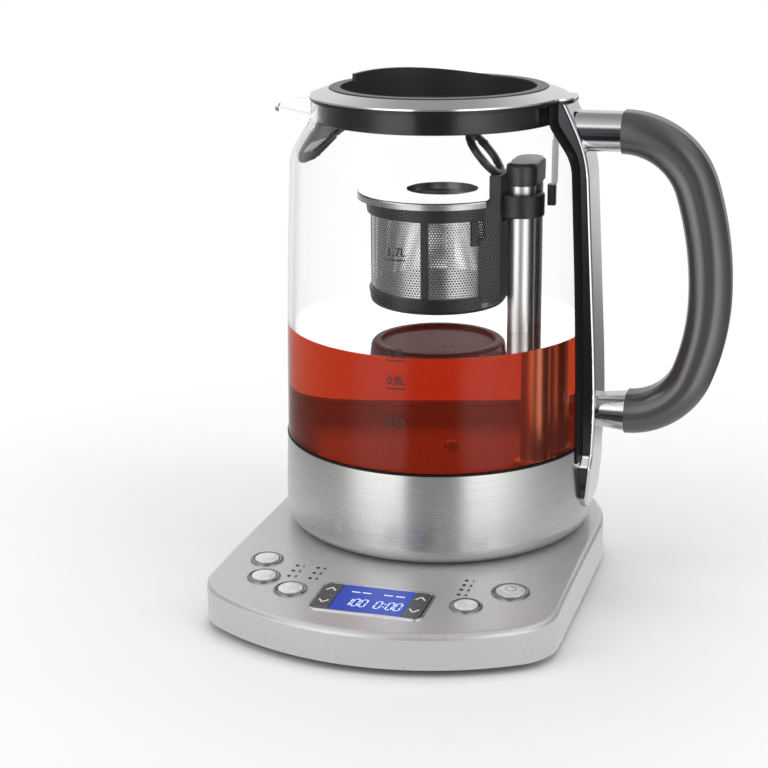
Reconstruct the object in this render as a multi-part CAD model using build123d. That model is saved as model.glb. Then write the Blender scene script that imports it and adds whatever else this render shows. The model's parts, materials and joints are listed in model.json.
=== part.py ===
from build123d import *
import math
import os

# Automatic tea maker: a glass jug with a motor-lifted tea basket, on a control base.
# Millimetres, +Z up, built about the jug's axis. The keys face -Y, the handle is at +X
# and the spout at -X. write_parts() moves every piece by the same step, so that the
# origin lies under the centre of the whole, at table level.

# Clearances
seat_gap = 0.2            # between pieces that only rest on each other
slide_gap = 0.3           # round pieces that slide past each other
fixed_gap = 0.05          # between pieces that are fitted for good
touch = 0.02              # flat faces that lie on each other

# Power base
base_top = 22.0           # table to the flat that carries the jug
base_foot_line = 3.4      # table to the lower edge of the housing
base_half_width = 82.0    # also the radius of the round back
base_front_reach = 144.0
base_front_radius = 128.0
base_corner_radius = 26.0
base_edge_radius = 2.5
base_wall = 2.0
panel_start = 70.0        # how far in front of the axis the key panel starts to fall
panel_slope = 1.95        # degrees
panel_blend_radius = 300.0
floor_plate = 2.0
floor_lift = 3.0          # table to the underside of the floor plate
foot_radius = 7.0
foot_recess = 1.0
foot_inset = 22.0         # feet to the base's sides
foot_spots = [
    (foot_inset - base_half_width, -104.0),
    (base_half_width - foot_inset, -104.0),
    (foot_inset + 10 - base_half_width, 46.0),
    (base_half_width - foot_inset - 10, 46.0),
]
boss_radius = 4.0
screw_head_radius = 3.0
screw_head_height = 1.1
screw_slot = 0.6
screw_radius = 1.5
screw_length = 11.0
boss_inset = 14.0         # screw bosses to the base's sides
boss_spots = [
    (boss_inset - base_half_width, -84.0),
    (base_half_width - boss_inset, -84.0),
    (boss_inset + 4 - base_half_width, 22.0),
    (base_half_width - boss_inset - 4, 22.0),
]

# Keys, buttons and display on the panel: places are (x, distance in front of the axis)
button_travel = 1.0
cap_proud = 1.3
bezel_rim = 1.8           # width of the chrome rim round a cap
bezel_proud = 0.9
bezel_sleeve = 1.1
left_back = 20.8 - base_half_width
left_front = -39.4
button_spots = {
    "button_left_back": (left_back, 83.0, 5.7),
    "button_left_middle": ((left_back + left_front) / 2 - 5.6, 101.3, 5.7),
    "button_left_front": (left_front, 111.1, 5.7),
    "button_function": (41.4, 108.2, 5.4),
    "button_start": (base_half_width - 24.7, 89.5, 6.7),
}
stem_radius = 2.0
switch_radius = 3.0
switch_height = 2.6
switch_slack = 0.1        # left between stem and switch body at the end of the travel
board_depth = 9.0         # panel surface to the top of the circuit board
board_thickness = 1.6
board_margin = 6.0        # board edge to the inside of the housing
board_back = 79.0
board_post_radius = 2.5
board_posts = [(-20.0, 86.0), (20.0, 86.0), (-22.0, 131.0), (22.0, 131.0)]
display_reach = 113.7     # centre of the display in front of the axis
display_length = 53.0
display_width = 28.0
display_corner = 4.0
display_rim = 1.3
display_proud = 0.6
window_length = 33.2
window_thickness = 1.6
module_depth = 3.4
key_proud = 0.9
key_travel = 0.8
lens_radius = 0.9
lens_proud = 0.3
left_lens_rows = [86.1, 91.8, 97.6]
left_lens_columns = [-45.0, -34.8]
right_lens_rows = [82.4, 87.4, 92.2, 97.4]
right_lens_column = 35.3

# Round connector between base and jug
socket_radius = 16.4
socket_rise = 5.6         # base top to the socket's upper face
socket_flange = 20.0
socket_flange_height = 2.0
ring_groove = (10.0, 12.6)
groove_depth = 5.2
pin_radius = 1.8
pin_bore = 2.4
contact_ring_wall = 0.8

# Mains lead inlet at the back
gland_bore = 3.5
gland_wall = 2.2
gland_length = 9.0
gland_proud = 1.2
gland_height = 12.6

# Jug skirt, the brushed steel foot of the jug
skirt_wall = 1.0
skirt_radius = 75.9
skirt_lip = 11.4          # width of the inward lip under the skirt
skirt_corner = 8.0
skirt_belt = 40.0         # height of the widest line
skirt_top = 66.4
skirt_taper = 0.9         # widest line to the top
pan_ledge = 1.4           # inward ledge that carries the heater pan
bottom_plate = 2.0
bottom_screw_sink = 0.8
bottom_screw_length = 6.0
recess_wall = 1.6
recess_gap = 2.0          # round the base's socket
connector_radius = 15.0
connector_height = 8.0

# Heater pan and gasket
pan_thickness = 1.0
pan_floor = 58.0          # upper face, which is the jug's inside bottom
pan_rim_gap = 3.7         # pan's rim to the glass's outer face
pan_rim_height = 7.0
gasket_bead = 1.1
heater_radius = 27.0
heater_tube = 3.4
heater_span = 290.0       # degrees of the open ring
heater_pin = 9.0          # length of the ends that point down
sensor_radius = 2.5
sensor_length = 14.0
sensor_spot = (0.0, 16.0)

# Glass body: radii of the outer face
glass_wall = 3.0
glass_foot_wall = 1.6
foot_step = 0.1           # skirt's top to the glass
belly_inset = 1.2         # the glass's foot to its belly and to its shoulder
shoulder_inset = 4.4
glass_belly_height = 130.0
neck_radius = 60.3
glass_top = 228.6
shoulder_drop = 25.1      # glass top down to the shoulder
neck_length = 8.8
belly_blend = 33.5        # length of the soft bend at the belly, to each side
shoulder_round = 22.0
neck_round = 10.0

# Spout: half widths and heights of three sections, from the neck to the tip
spout_tip_reach = 80.6
spout_mid_reach = 71.0
spout_root_reach = 55.0
spout_root_half = 15.0
spout_mid_half = 9.6
spout_tip_half = 4.6
spout_root_depth = 13.5
spout_mid_depth = 8.4
spout_tip_depth = 3.4
spout_droop = 5.4
spout_wall = 2.2

# Neck collar, chrome ring and lid
collar_bore = 49.9
collar_drop = 9.8         # how far the black band reaches down inside the neck
flange_height = 1.5
flange_radius = 60.5
ring_inner_radius = 51.5
ring_edge = 0.8           # thickness of the chrome ring at its outer edge
ring_rise = 3.8           # flange to the chrome ring's inner edge
tab_reach = 65.3
tab_half_width = 13.5
tab_corner = 8.0
collar_window_half = 19.0
lid_rim_inner = 46.0
lid_rim_rise = 4.1
lid_depth = 13.2          # rim top to the bowl's inside floor
lid_wall = 1.5
lip_rise = 3.6
lip_width = 2.2
lip_start = 165.0         # degrees; the lip is square here and runs out to nothing at lip_end
lip_peak = 138.0
lip_end = 73.0
seal_groove = 1.6
seal_drop = 4.0

# Handle
spine_half_width = 13.6
spine_foot_half_width = 16.6
spine_foot_height = 34.6
spine_edge_radius = 1.6
gasket_half_width = 20.4
gasket_thickness = 1.0
spine_join_height = 60.0  # where the gasket ends and the spine lies on the skirt
stub_top_drop = 13.2      # glass top down to the upper stub's centre line
stub_bottom_height = 82.2
stub_height = 18.0
stub_width = 22.0
stub_top_root = 64.0
stub_bottom_root_depth = 0.1
stub_neck_height = 14.0   # the lower stub is slimmer where it leaves the spine
stub_neck_width = 18.0
grip_start = 88.0
grip_end = 93.0
grip_reach = 130.0        # axis to the grip's centre line
grip_mid_height = 141.0
grip_top_turn = 72.0
grip_bottom_turn = 70.0
grip_thickness = 19.4
grip_width = 24.4
grip_corner = 8.6
core_radius = 4.5
core_reach = 7.0          # into each stub
handle_screw_radius = 1.6
handle_screw_head = 3.0
handle_screw_reach = 1.6
handle_screw_spread = 7.0
handle_screw_height = 47.0
spine_top_depth = 2.7     # how far the spine's flat face stands off the jug, from the top down
spine_neck_depth = 5.3
spine_neck_drop = 5.2
spine_shoulder_depth = 3.5
spine_shoulder_rise = 1.5
spine_belly_depth = 5.4
spine_belly_drop = 18.0
spine_foot_depth = 5.3
spine_foot_rise = 17.6    # above the skirt
spine_skirt_depth = 4.1
spine_end_depth = 1.1
spine_neck_round = 20.0
spine_shoulder_round = 60.0
spine_belly_round = 600.0
spine_foot_round = 300.0
spine_skirt_round = 250.0

# Lift posts and drive
post_x = 42.3
post_spread = 18.0        # between the two posts, which stand to each side of the handle's plane
post_radius = 6.3
post_wall = 0.8
post_flange_radius = 9.0
post_flange_height = 1.6
cap_radius = 7.3
post_cap_drop = 27.6      # glass top down to the top of the posts' cap
post_cap_height = 10.2
post_cap_roof = 8.0       # from the posts' ends to the cap's top
screw_shaft_radius = 2.5
screw_collar_radius = 3.6
bush_radius = 4.4
motor_radius = 9.5
motor_height = 17.0
gearbox_height = 9.0
gearbox_radius = 11.5
running_gap = 0.06

# Lift collar and what hangs on it
lift_travel = 64.0
lift_height = 10.8
lift_rest_gap = 3.7       # lift collar to the cap, in the raised place
lift_wall = 4.0
magnet_wall = 2.2
magnet_height = 7.0
hook_width = 15.0
hook_depth = 2.2
hook_lip = 1.0
hook_lip_rise = 2.0

# Basket
basket_shift = 0.45       # basket's axis from the jug's, away from the posts
basket_radius = 35.1      # top ring
basket_ring_taper = 1.2
basket_edge = 0.4         # small bevel on the basket's rings
basket_rise = 7.5         # lift collar's lower face to the basket's top
basket_ring_height = 8.6
basket_height = 52.9
basket_bottom_height = 7.9
basket_bottom_radius = 33.4
mesh_radius = 31.85
mesh_wall = 0.5
rib_width = 3.6
rib_thickness = 0.9
rib_angles = [94.0, 184.0, 274.0]
short_rib_angle = 317.0
short_rib_length = 12.0
holder_half_width = 11.0
holder_foot_rise = 5.1    # above the basket's bottom
holder_top_rise = 12.2    # above the basket's top
holder_gap = 1.3          # holder to the lift post
holder_notch_width = 3.3
holder_notch_height = 9.0
unhook_travel = 3.5
loop_tilt = 40.0          # degrees from upright
loop_reach = 13.0
loop_half_width = 11.6
loop_band = 3.6
loop_thickness = 3.2
loop_root = 1.8           # how deep the loop's foot sinks into its upright
disc_radius = 38.6
disc_thickness = 1.2
disc_hole = 17.3
disc_hole_spot = (1.4, 2.8)
disc_edge_drop = 2.0      # height of the turned-down outer edge
disc_flat = 29.6
disc_rim = 2.6
disc_lift = 7.0

# Spout filter and level sensor
filter_height = 21.8
filter_gap = 0.4          # filter to the collar's band
filter_half_width = 31.0
filter_band = 3.4
filter_thickness = 2.0
filter_mesh_wall = 0.5
strip_half_width = 5.0
strip_thickness = 1.2
strip_drop = 38.6         # glass top down to the strip's lower end
strip_gap = 0.6           # strip to the collar's outer face
level_tip_height = 9.8
level_tip_depth = 3.6
level_tip_half_width = 2.4

# Values that follow from the sizes above
panel = Plane(
    origin=(0, -panel_start, base_top),
    x_dir=(1, 0, 0),
    z_dir=(0, -math.sin(math.radians(panel_slope)), math.cos(math.radians(panel_slope))),
)
skirt_lip_radius = skirt_radius - skirt_lip
skirt_top_radius = skirt_radius - skirt_taper
glass_foot_radius = skirt_top_radius - foot_step
glass_belly_radius = glass_foot_radius - belly_inset
shoulder_radius = glass_foot_radius - shoulder_inset
pan_rim_radius = glass_foot_radius - pan_rim_gap
stub_bottom_root = glass_foot_radius + stub_bottom_root_depth
neck_height = glass_top - neck_length
shoulder_height = glass_top - shoulder_drop
lower_lean = math.atan(belly_inset / (glass_belly_height - pan_floor))
upper_lean = math.atan((shoulder_inset - belly_inset) / (shoulder_height - glass_belly_height))
belly_round = belly_blend / math.tan(abs(upper_lean - lower_lean) / 2)
stub_top_height = glass_top - stub_top_drop
post_y = -post_spread / 2
cap_top = glass_top - post_cap_drop
cap_bottom = cap_top - post_cap_height
post_top = cap_top - post_cap_roof
lift_top = cap_bottom - lift_rest_gap
lift_bottom = lift_top - lift_height
basket_top = lift_bottom + basket_rise
basket_bottom = basket_top - basket_height
holder_bottom = basket_bottom + holder_foot_rise
holder_top = basket_top + holder_top_rise
filter_top = glass_top - collar_drop - filter_gap
filter_tip = filter_top - filter_height
strip_bottom = glass_top - strip_drop
level_tip_bottom = strip_bottom - level_tip_height
pan_underside = pan_floor - pan_thickness
flange_bottom = glass_top + touch
flange_top = flange_bottom + flange_height
skirt_bottom = base_top + seat_gap
bore_radius = neck_radius - glass_wall
collar_radius = bore_radius - slide_gap
holder_face = post_x - post_radius - holder_gap
holder_reach = holder_face + basket_shift
lift_bore = post_radius + slide_gap
lift_radius = lift_bore + lift_wall
board_top = -board_depth
cap_drop = board_depth - switch_height - switch_slack
screw_seat = floor_lift + screw_head_height + 0.1

parts = {}


# Helpers
def tube(outer, inner, bottom, top, x=0.0, y=0.0):
    """A straight round tube between two heights; inner 0 makes a rod."""
    body = Pos(x, y, bottom) * extrude(Circle(outer), top - bottom)
    if inner > 0:
        body -= Pos(x, y, bottom) * extrude(Circle(inner), top - bottom)
    return body


def block(x0, x1, y0, y1, z0, z1):
    """A box from its corners."""
    size = Box(x1 - x0, y1 - y0, z1 - z0)
    return Pos((x0 + x1) / 2, (y0 + y1) / 2, (z0 + z1) / 2) * size


def lathe(points, radii=None, angle=360.0):
    """Turns a closed outline of (radius, height) corners about the axis."""
    rounding = radii if radii else [0.0] * len(points)
    outline = make_face(FilletPolyline(*points, radius=rounding, close=True))
    return revolve(Plane.XZ * outline, Axis.Z, angle)


def shift_path(points, distance):
    """Moves an open outline of (radius, height) corners outwards by a distance."""
    normals = []
    for (r0, z0), (r1, z1) in zip(points, points[1:]):
        length = math.hypot(r1 - r0, z1 - z0)
        normals.append(((z1 - z0) / length, -(r1 - r0) / length))
    moved = [(points[0][0] + distance / normals[0][0], points[0][1])]
    for (r, z), n0, n1 in zip(points[1:-1], normals, normals[1:]):
        scale = distance / (1 + n0[0] * n1[0] + n0[1] * n1[1])
        moved.append((r + scale * (n0[0] + n1[0]), z + scale * (n0[1] + n1[1])))
    moved.append((points[-1][0] + distance / normals[-1][0], points[-1][1]))
    return moved


def glass_form(distance, bottom, top):
    """A solid of revolution whose side lies a distance outside the glass's outer face."""
    over = glass_top + 10
    corners = [
        (glass_foot_radius, pan_floor),
        (glass_belly_radius, glass_belly_height),
        (shoulder_radius, shoulder_height),
        (neck_radius, neck_height),
        (neck_radius, over),
    ]
    path = shift_path(corners, distance)
    radii = [0, belly_round, shoulder_round + distance, neck_round - distance, 0, 0, 0]
    body = lathe(path + [(0, over), (0, pan_floor)], radii)
    return body & block(-100, 100, -100, 100, bottom, top)


def skirt_form(distance, top):
    """A solid of revolution whose side lies a distance outside the steel skirt."""
    corners = [
        (skirt_radius + distance, skirt_bottom - distance),
        (skirt_radius + distance, skirt_belt),
        (skirt_top_radius + distance, top),
        (0, top),
        (0, skirt_bottom - distance),
    ]
    return lathe(corners, [skirt_corner + distance, 200, 0, 0, 0])


def on_panel(x, reach):
    """A place on the key panel's surface, given by its plan position."""
    along = (reach - panel_start) / math.cos(math.radians(panel_slope))
    return panel * Pos(x, -along, 0)


# Power base
def base_outline(inset):
    """Plan of the base: round back, straight sides, arched front."""
    half = base_half_width - inset
    reach = base_front_reach - inset
    centre = base_front_radius - base_front_reach
    radius = base_front_radius - inset
    corner_y = centre - math.sqrt(radius**2 - half**2)
    outline = make_face(
        [
            ThreePointArc((half, 0), (0, half), (-half, 0)),
            Line((-half, 0), (-half, corner_y)),
            ThreePointArc((-half, corner_y), (0, -reach), (half, corner_y)),
            Line((half, corner_y), (half, 0)),
        ]
    )
    front = [v for v in outline.vertices() if v.Y < -1]
    return fillet(front, base_corner_radius - inset)


def base_form(inset, bottom, drop):
    """The base as a solid block: the outline up to the flat and the sloping panel."""
    reach = base_front_reach + 20
    top = base_top - drop
    fall = math.tan(math.radians(panel_slope)) * (reach - panel_start)
    side = make_face(
        FilletPolyline(
            (reach, bottom),
            (reach, top),
            (-panel_start, top),
            (-reach, top - fall),
            (-reach, bottom),
            radius=[0, 0, panel_blend_radius, 0, 0],
            close=True,
        )
    )
    prism = extrude(Plane.YZ * side, base_half_width + 20, both=True)
    return prism & extrude(Pos(0, 0, bottom) * base_outline(inset), base_top)


def upper_rim(body, level):
    """The edges round the top of the base, without the creases across the panel."""
    rim = []
    for edge in body.edges():
        direction = edge.tangent_at(0.5)
        crease = edge.geom_type == GeomType.LINE and abs(direction.X) > 0.99
        if edge.center().Z > level and abs(direction.Z) < 0.3 and not crease:
            rim.append(edge)
    return rim


def base_top_cover():
    boss_top = base_top - base_wall / 2
    body = base_form(0, base_foot_line, 0)
    body = fillet(upper_rim(body, base_foot_line + 8), base_edge_radius)
    body -= base_form(base_wall, base_foot_line - 1, base_wall)
    bosses = []
    for x, y in boss_spots:
        bosses.append(tube(boss_radius, 0, floor_lift + floor_plate + touch, boss_top, x, y))
    for spot in board_posts:
        post = extrude(Circle(board_post_radius), board_depth - touch - base_wall / 2)
        bosses.append(on_panel(*spot) * Pos(0, 0, board_top + touch) * post)
    body += bosses
    for x, y in boss_spots:
        body -= tube(screw_radius + fixed_gap, 0, 0, floor_lift + screw_length + 1, x, y)
    body -= tube(socket_radius + seat_gap, 0, 0, base_top + 5)
    for x, reach, cap in button_spots.values():
        body -= on_panel(x, reach) * Cylinder(cap + slide_gap + bezel_sleeve + fixed_gap, 20)
    for spot in lens_spots():
        body -= on_panel(*spot) * Cylinder(lens_radius + fixed_gap, 20)
    hole = RectangleRounded(
        display_length - 2 * display_rim,
        display_width - 2 * display_rim,
        display_corner - display_rim,
    )
    body -= on_panel(0, display_reach) * extrude(hole, 10, both=True)
    body -= gland_axis() * Cylinder(gland_bore + gland_wall + fixed_gap, 30)
    return body


def base_bottom_cover():
    margin = base_wall + slide_gap
    body = extrude(Pos(0, 0, floor_lift) * base_outline(margin), floor_plate)
    for x, y in foot_spots:
        body -= tube(foot_radius + fixed_gap, 0, floor_lift, floor_lift + foot_recess, x, y)
    for x, y in boss_spots:
        body -= tube(screw_radius + fixed_gap, 0, 0, base_top, x, y)
        body -= tube(screw_head_radius + fixed_gap, 0, 0, screw_seat, x, y)
    return body


def base_feet():
    feet = []
    for x, y in foot_spots:
        foot = tube(foot_radius, 0, 0, floor_lift + foot_recess - touch, x, y)
        lower = foot.edges().group_by(Axis.Z)[0]
        feet.append(chamfer(lower, 0.6))
    return feet


def base_screws():
    bottom = screw_seat - touch - screw_head_height
    return [screw_from_below(x, y, bottom, screw_length) for x, y in boss_spots]


def screw_from_below(x, y, bottom, length):
    """A pan-headed screw with a crossed recess, pointing up."""
    top = bottom + screw_head_height
    head = tube(screw_head_radius, 0, bottom, top, x, y)
    head -= Pos(x, y, bottom) * Box(screw_head_radius, screw_slot, screw_slot * 2)
    head -= Pos(x, y, bottom) * Box(screw_slot, screw_head_radius, screw_slot * 2)
    return head + tube(screw_radius, 0, top - touch, bottom + length, x, y)


def power_socket():
    top = base_top + socket_rise
    bottom = base_top - base_wall - touch
    body = tube(socket_radius, 0, bottom, top)
    body = fillet(body.edges().group_by(Axis.Z)[-1], 1.2)
    body += tube(socket_flange, 0, bottom - socket_flange_height, bottom)
    body += tube(socket_radius, 0, floor_lift + floor_plate + touch, bottom)
    body -= tube(ring_groove[1], ring_groove[0], top - groove_depth, top)
    body -= tube(pin_bore, 0, top - groove_depth - 2, top)
    return body


def socket_contacts():
    top = base_top + socket_rise
    floor = top - groove_depth
    outer = ring_groove[0] + contact_ring_wall
    ring = tube(outer, ring_groove[0] + fixed_gap, floor + touch, top - 1.5)
    disc = tube(pin_bore - fixed_gap, 0, floor - 2 + touch, floor - 1)
    return [ring, disc]


def control_board():
    plan = base_outline(base_wall + board_margin) & Pos(0, -board_back - 100) * Rectangle(300, 200)
    blank = extrude(plan, 200)
    slab = on_panel(0, board_back + 40) * Pos(0, 0, board_top - board_thickness / 2)
    body = blank & slab * Box(300, 300, board_thickness)
    for x, y in boss_spots:
        body -= tube(boss_radius + slide_gap, 0, 0, base_top, x, y)
    return body


def key_switches():
    switches = []
    for x, reach, cap in button_spots.values():
        place = on_panel(x, reach) * Pos(0, 0, board_top + touch)
        switches.append(place * extrude(Circle(switch_radius), switch_height))
    for x, y in key_centres().values():
        place = on_panel(0, display_reach) * Pos(x, y, board_top + touch)
        switches.append(place * extrude(Circle(switch_radius), switch_height))
    return switches


def lens_spots():
    spots = [(x, reach) for x in left_lens_columns for reach in left_lens_rows]
    return spots + [(right_lens_column, reach) for reach in right_lens_rows]


def indicator_lenses():
    lenses = []
    for spot in lens_spots():
        lens = extrude(Circle(lens_radius), base_wall + lens_proud)
        lens = fillet(lens.edges().group_by(Axis.Z)[-1], lens_radius * 0.3)
        lenses.append(on_panel(*spot) * Pos(0, 0, -base_wall) * lens)
    return lenses


def button_bezels():
    """Chrome rings: a rounded rim on the panel and a sleeve through it."""
    rings = []
    for x, reach, cap in button_spots.values():
        bore = cap + slide_gap
        rim = lathe(
            [
                (bore, -base_wall - 1),
                (bore + bezel_sleeve, -base_wall - 1),
                (bore + bezel_sleeve, touch),
                (bore + bezel_rim, touch),
                (bore + bezel_rim, bezel_proud * 0.5),
                (bore + bezel_rim * 0.6, bezel_proud),
                (bore, bezel_proud * 0.6),
            ],
            [0, 0, 0, 0, 0.3, 0.5, 0],
        )
        rings.append(on_panel(x, reach) * rim)
    return rings


def round_button(x, reach, cap):
    """A domed cap with a retaining flange and a stem down to its switch."""
    flange_level = -base_wall - 1 - slide_gap
    body = lathe(
        [
            (0, cap_proud + 0.7),
            (cap * 0.6, cap_proud + 0.45),
            (cap, cap_proud - 0.3),
            (cap, flange_level),
            (cap + bezel_sleeve, flange_level),
            (cap + bezel_sleeve, flange_level - 0.8),
            (stem_radius, flange_level - 0.8),
            (stem_radius, -cap_drop + button_travel),
            (0, -cap_drop + button_travel),
        ],
        [0, 4, 0.5, 0, 0, 0, 0, 0, 0],
    )
    return on_panel(x, reach) * body


def key_size():
    inner_length = display_length - 2 * display_rim - 2 * fixed_gap
    inner_width = display_width - 2 * display_rim - 2 * fixed_gap
    length = (inner_length - window_length) / 2 - 2 * slide_gap
    width = inner_width / 2 - 1.5 * slide_gap
    return length, width


def key_centres():
    length, width = key_size()
    x = window_length / 2 + slide_gap + length / 2
    y = width / 2 + slide_gap / 2
    return {
        "key_left_up": (-x, y),
        "key_left_down": (-x, -y),
        "key_right_up": (x, y),
        "key_right_down": (x, -y),
    }


def arrow_key(x, y):
    plan = Rectangle(*key_size())
    outer = [v for v in plan.vertices() if v.X * x > 0 and v.Y * y > 0]
    plan = fillet(outer, display_corner - display_rim - slide_gap)
    cap = extrude(plan, base_wall + key_proud)
    cap = fillet(cap.edges().group_by(Axis.Z)[-1], 0.35)
    body = Pos(0, 0, -base_wall) * cap
    stem_length = cap_drop - key_travel - base_wall
    body += Pos(0, 0, -base_wall - stem_length) * extrude(Circle(stem_radius), stem_length)
    return on_panel(0, display_reach) * Pos(x, y, 0) * body


def display_frame():
    outer = RectangleRounded(display_length, display_width, display_corner)
    inset = display_rim
    hole = RectangleRounded(display_length - 2 * inset, display_width - 2 * inset, display_corner - inset)
    rim = Pos(0, 0, touch) * extrude(outer - hole, display_proud)
    rim = chamfer(rim.edges().group_by(Axis.Z)[-1], 0.25)
    return on_panel(0, display_reach) * rim


def display_window():
    width = display_width - 2 * display_rim - 2 * fixed_gap
    glass = extrude(Rectangle(window_length, width), window_thickness)
    return on_panel(0, display_reach) * Pos(0, 0, display_proud - window_thickness) * glass


def display_module():
    width = display_width - 2 * display_rim - 4 * fixed_gap
    top = display_proud - window_thickness - touch
    cell = extrude(Rectangle(window_length - 1, width), module_depth)
    pins = extrude(Rectangle(window_length - 6, 2.0), board_depth + top - module_depth - touch)
    body = Pos(0, 0, top - module_depth) * cell
    body += Pos(0, width / 2 - 2, board_top + touch) * pins
    return on_panel(0, display_reach) * body


def gland_axis():
    """Centre line of the mains inlet, with its mouth on the outside of the round back."""
    return Pos(0, base_half_width, gland_height) * Rot(-90, 0, 0)


def cord_gland():
    inner = base_wall + fixed_gap
    flange = gland_bore + gland_wall + 1.2
    body = lathe(
        [
            (gland_bore, gland_proud),
            (gland_bore + gland_wall, gland_proud),
            (gland_bore + gland_wall, -inner - 0.4),
            (flange, -inner - 0.4),
            (flange, -inner - 2.4),
            (gland_bore + gland_wall, -inner - 2.4),
            (gland_bore + gland_wall, gland_proud - gland_length),
            (gland_bore, gland_proud - gland_length),
        ],
        [0.5, 1.0, 0, 0, 0, 0, 0, 0],
    )
    return gland_axis() * body


# Jug
def jug_skirt():
    body = skirt_form(0, skirt_top) - skirt_form(-skirt_wall, skirt_top)
    body -= tube(skirt_lip_radius, 0, 0, skirt_top)
    ledge_top = pan_underside - touch
    inner = skirt_radius - skirt_wall
    body += lathe(
        [
            (inner, ledge_top),
            (inner - pan_ledge, ledge_top),
            (inner - pan_ledge, ledge_top - 1.2),
            (inner, ledge_top - 2.4),
        ]
    )
    for y in (-handle_screw_spread, handle_screw_spread):
        hole = Cylinder(handle_screw_radius + fixed_gap, 20)
        body -= Pos(skirt_radius, y, handle_screw_height) * Rot(0, 90, 0) * hole
    return body


def pan_flange_radius():
    return skirt_top_radius - skirt_wall - fixed_gap


def skirt_gasket():
    """Silicone channel that holds the glass: its bead is the black line above the skirt."""
    inner = pan_rim_radius + fixed_gap
    outer = pan_flange_radius()
    bead_radius = skirt_top_radius + 0.15
    pad = pan_floor + 0.6
    bead_bottom = skirt_top + touch
    foot_outer = glass_foot_radius - glass_wall + glass_foot_wall + fixed_gap
    return lathe(
        [
            (inner, pan_floor + touch),
            (outer, pan_floor + touch),
            (outer, bead_bottom),
            (bead_radius, bead_bottom),
            (bead_radius, bead_bottom + gasket_bead),
            (foot_outer, bead_bottom + gasket_bead),
            (foot_outer, pad),
            (inner, pad),
        ],
        [0, 0, 0, 0.3, 0.3, 0, 0, 0],
    )


def heater_pan():
    outer = pan_flange_radius()
    rim_top = pan_floor + pan_rim_height
    body = lathe(
        [
            (0, pan_underside),
            (outer, pan_underside),
            (outer, pan_floor),
            (pan_rim_radius, pan_floor),
            (pan_rim_radius, rim_top),
            (pan_rim_radius - pan_thickness, rim_top),
            (pan_rim_radius - pan_thickness, pan_floor),
            (0, pan_floor),
        ]
    )
    body -= tube(bush_radius, 0, 0, pan_floor + 1, post_x, post_y)
    body -= tube(sensor_radius + fixed_gap, 0, 0, pan_floor + 1, *sensor_spot)
    return body


def heating_element():
    centre = pan_underside - heater_tube - touch
    start = 180 + (360 - heater_span) / 2
    ring = Rot(0, 0, start) * revolve(
        Plane.XZ * Pos(heater_radius, 0) * Circle(heater_tube), Axis.Z, heater_span
    )
    body = Pos(0, 0, centre) * ring
    for angle in (start, start + heater_span):
        x = heater_radius * math.cos(math.radians(angle))
        y = heater_radius * math.sin(math.radians(angle))
        body += Pos(x, y, centre) * Sphere(heater_tube)
        body += tube(heater_tube * 0.55, 0, centre - heater_pin, centre, x, y)
    return body


def temperature_sensor():
    x, y = sensor_spot
    top = pan_floor + 3
    body = tube(sensor_radius, 0, top - sensor_length, top, x, y)
    body = fillet(body.edges().group_by(Axis.Z)[-1], 1.5)
    return body + tube(sensor_radius + 2, 0, pan_underside - 3, pan_underside - touch, x, y)


def jug_bottom_cover():
    """Plastic floor of the skirt with the cup that takes the base's socket."""
    bottom = skirt_bottom + skirt_wall + touch
    cup = socket_radius + recess_gap
    ceiling = base_top + socket_rise + recess_gap
    edge = skirt_radius - skirt_corner
    body = tube(edge, cup, bottom, bottom + bottom_plate)
    body += tube(cup + recess_wall, cup, bottom, ceiling + recess_wall)
    body += tube(cup + recess_wall, 0, ceiling, ceiling + recess_wall)
    body -= tube(pin_bore + 1, 0, ceiling - 1, ceiling + recess_wall + 1)
    for x, y in bottom_screw_spots():
        body += tube(boss_radius, 0, bottom, bottom + bottom_screw_length, x, y)
        body -= tube(screw_head_radius + fixed_gap, 0, bottom - 1, bottom + bottom_screw_sink, x, y)
        body -= tube(screw_radius + fixed_gap, 0, bottom - 1, bottom + bottom_screw_length + 1, x, y)
    return body


def bottom_screw_spots():
    spots = []
    edge = skirt_radius - skirt_corner
    for angle in range(0, 360, 90):
        x = (edge - 9) * math.cos(math.radians(angle + 45))
        y = (edge - 9) * math.sin(math.radians(angle + 45))
        spots.append((x, y))
    return spots


def bottom_screws():
    seat = skirt_bottom + skirt_wall + touch + bottom_screw_sink
    bottom = seat - touch - screw_head_height
    return [screw_from_below(x, y, bottom, bottom_screw_length) for x, y in bottom_screw_spots()]


def jug_connector():
    """The jug's half of the round connector: a ring and a pin that dip into the socket."""
    ceiling = base_top + socket_rise + recess_gap
    seat = ceiling + recess_wall + touch
    groove_floor = base_top + socket_rise - groove_depth
    ring_inner = ring_groove[0] + contact_ring_wall + slide_gap
    body = tube(connector_radius, 0, seat, seat + connector_height)
    body = chamfer(body.edges().group_by(Axis.Z)[-1], 1.0)
    body += tube(pin_radius, 0, groove_floor, seat)
    ring = tube(ring_groove[1] - slide_gap, ring_inner, groove_floor + 1, ceiling - touch)
    return [body, ring]


def lift_motor():
    top = pan_underside - touch
    gearbox = tube(gearbox_radius, 0, top - gearbox_height, top, post_x, post_y)
    can = tube(motor_radius, 0, top - gearbox_height - motor_height, top, post_x, post_y)
    body = gearbox + chamfer(can.edges().group_by(Axis.Z)[0], 1.0)
    body -= tube(bush_radius + fixed_gap, 0, top - 2.5, top, post_x, post_y)
    body -= tube(screw_shaft_radius + running_gap, 0, top - 8, top, post_x, post_y)
    return body


def screw_bush():
    bore = screw_shaft_radius + running_gap
    outer = bush_radius - fixed_gap
    body = tube(outer, bore, pan_underside - 2, pan_floor + touch, post_x, post_y)
    wide = post_radius - post_wall - fixed_gap
    return body + tube(wide, bore, pan_floor + touch, pan_floor + 2.5, post_x, post_y)


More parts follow.
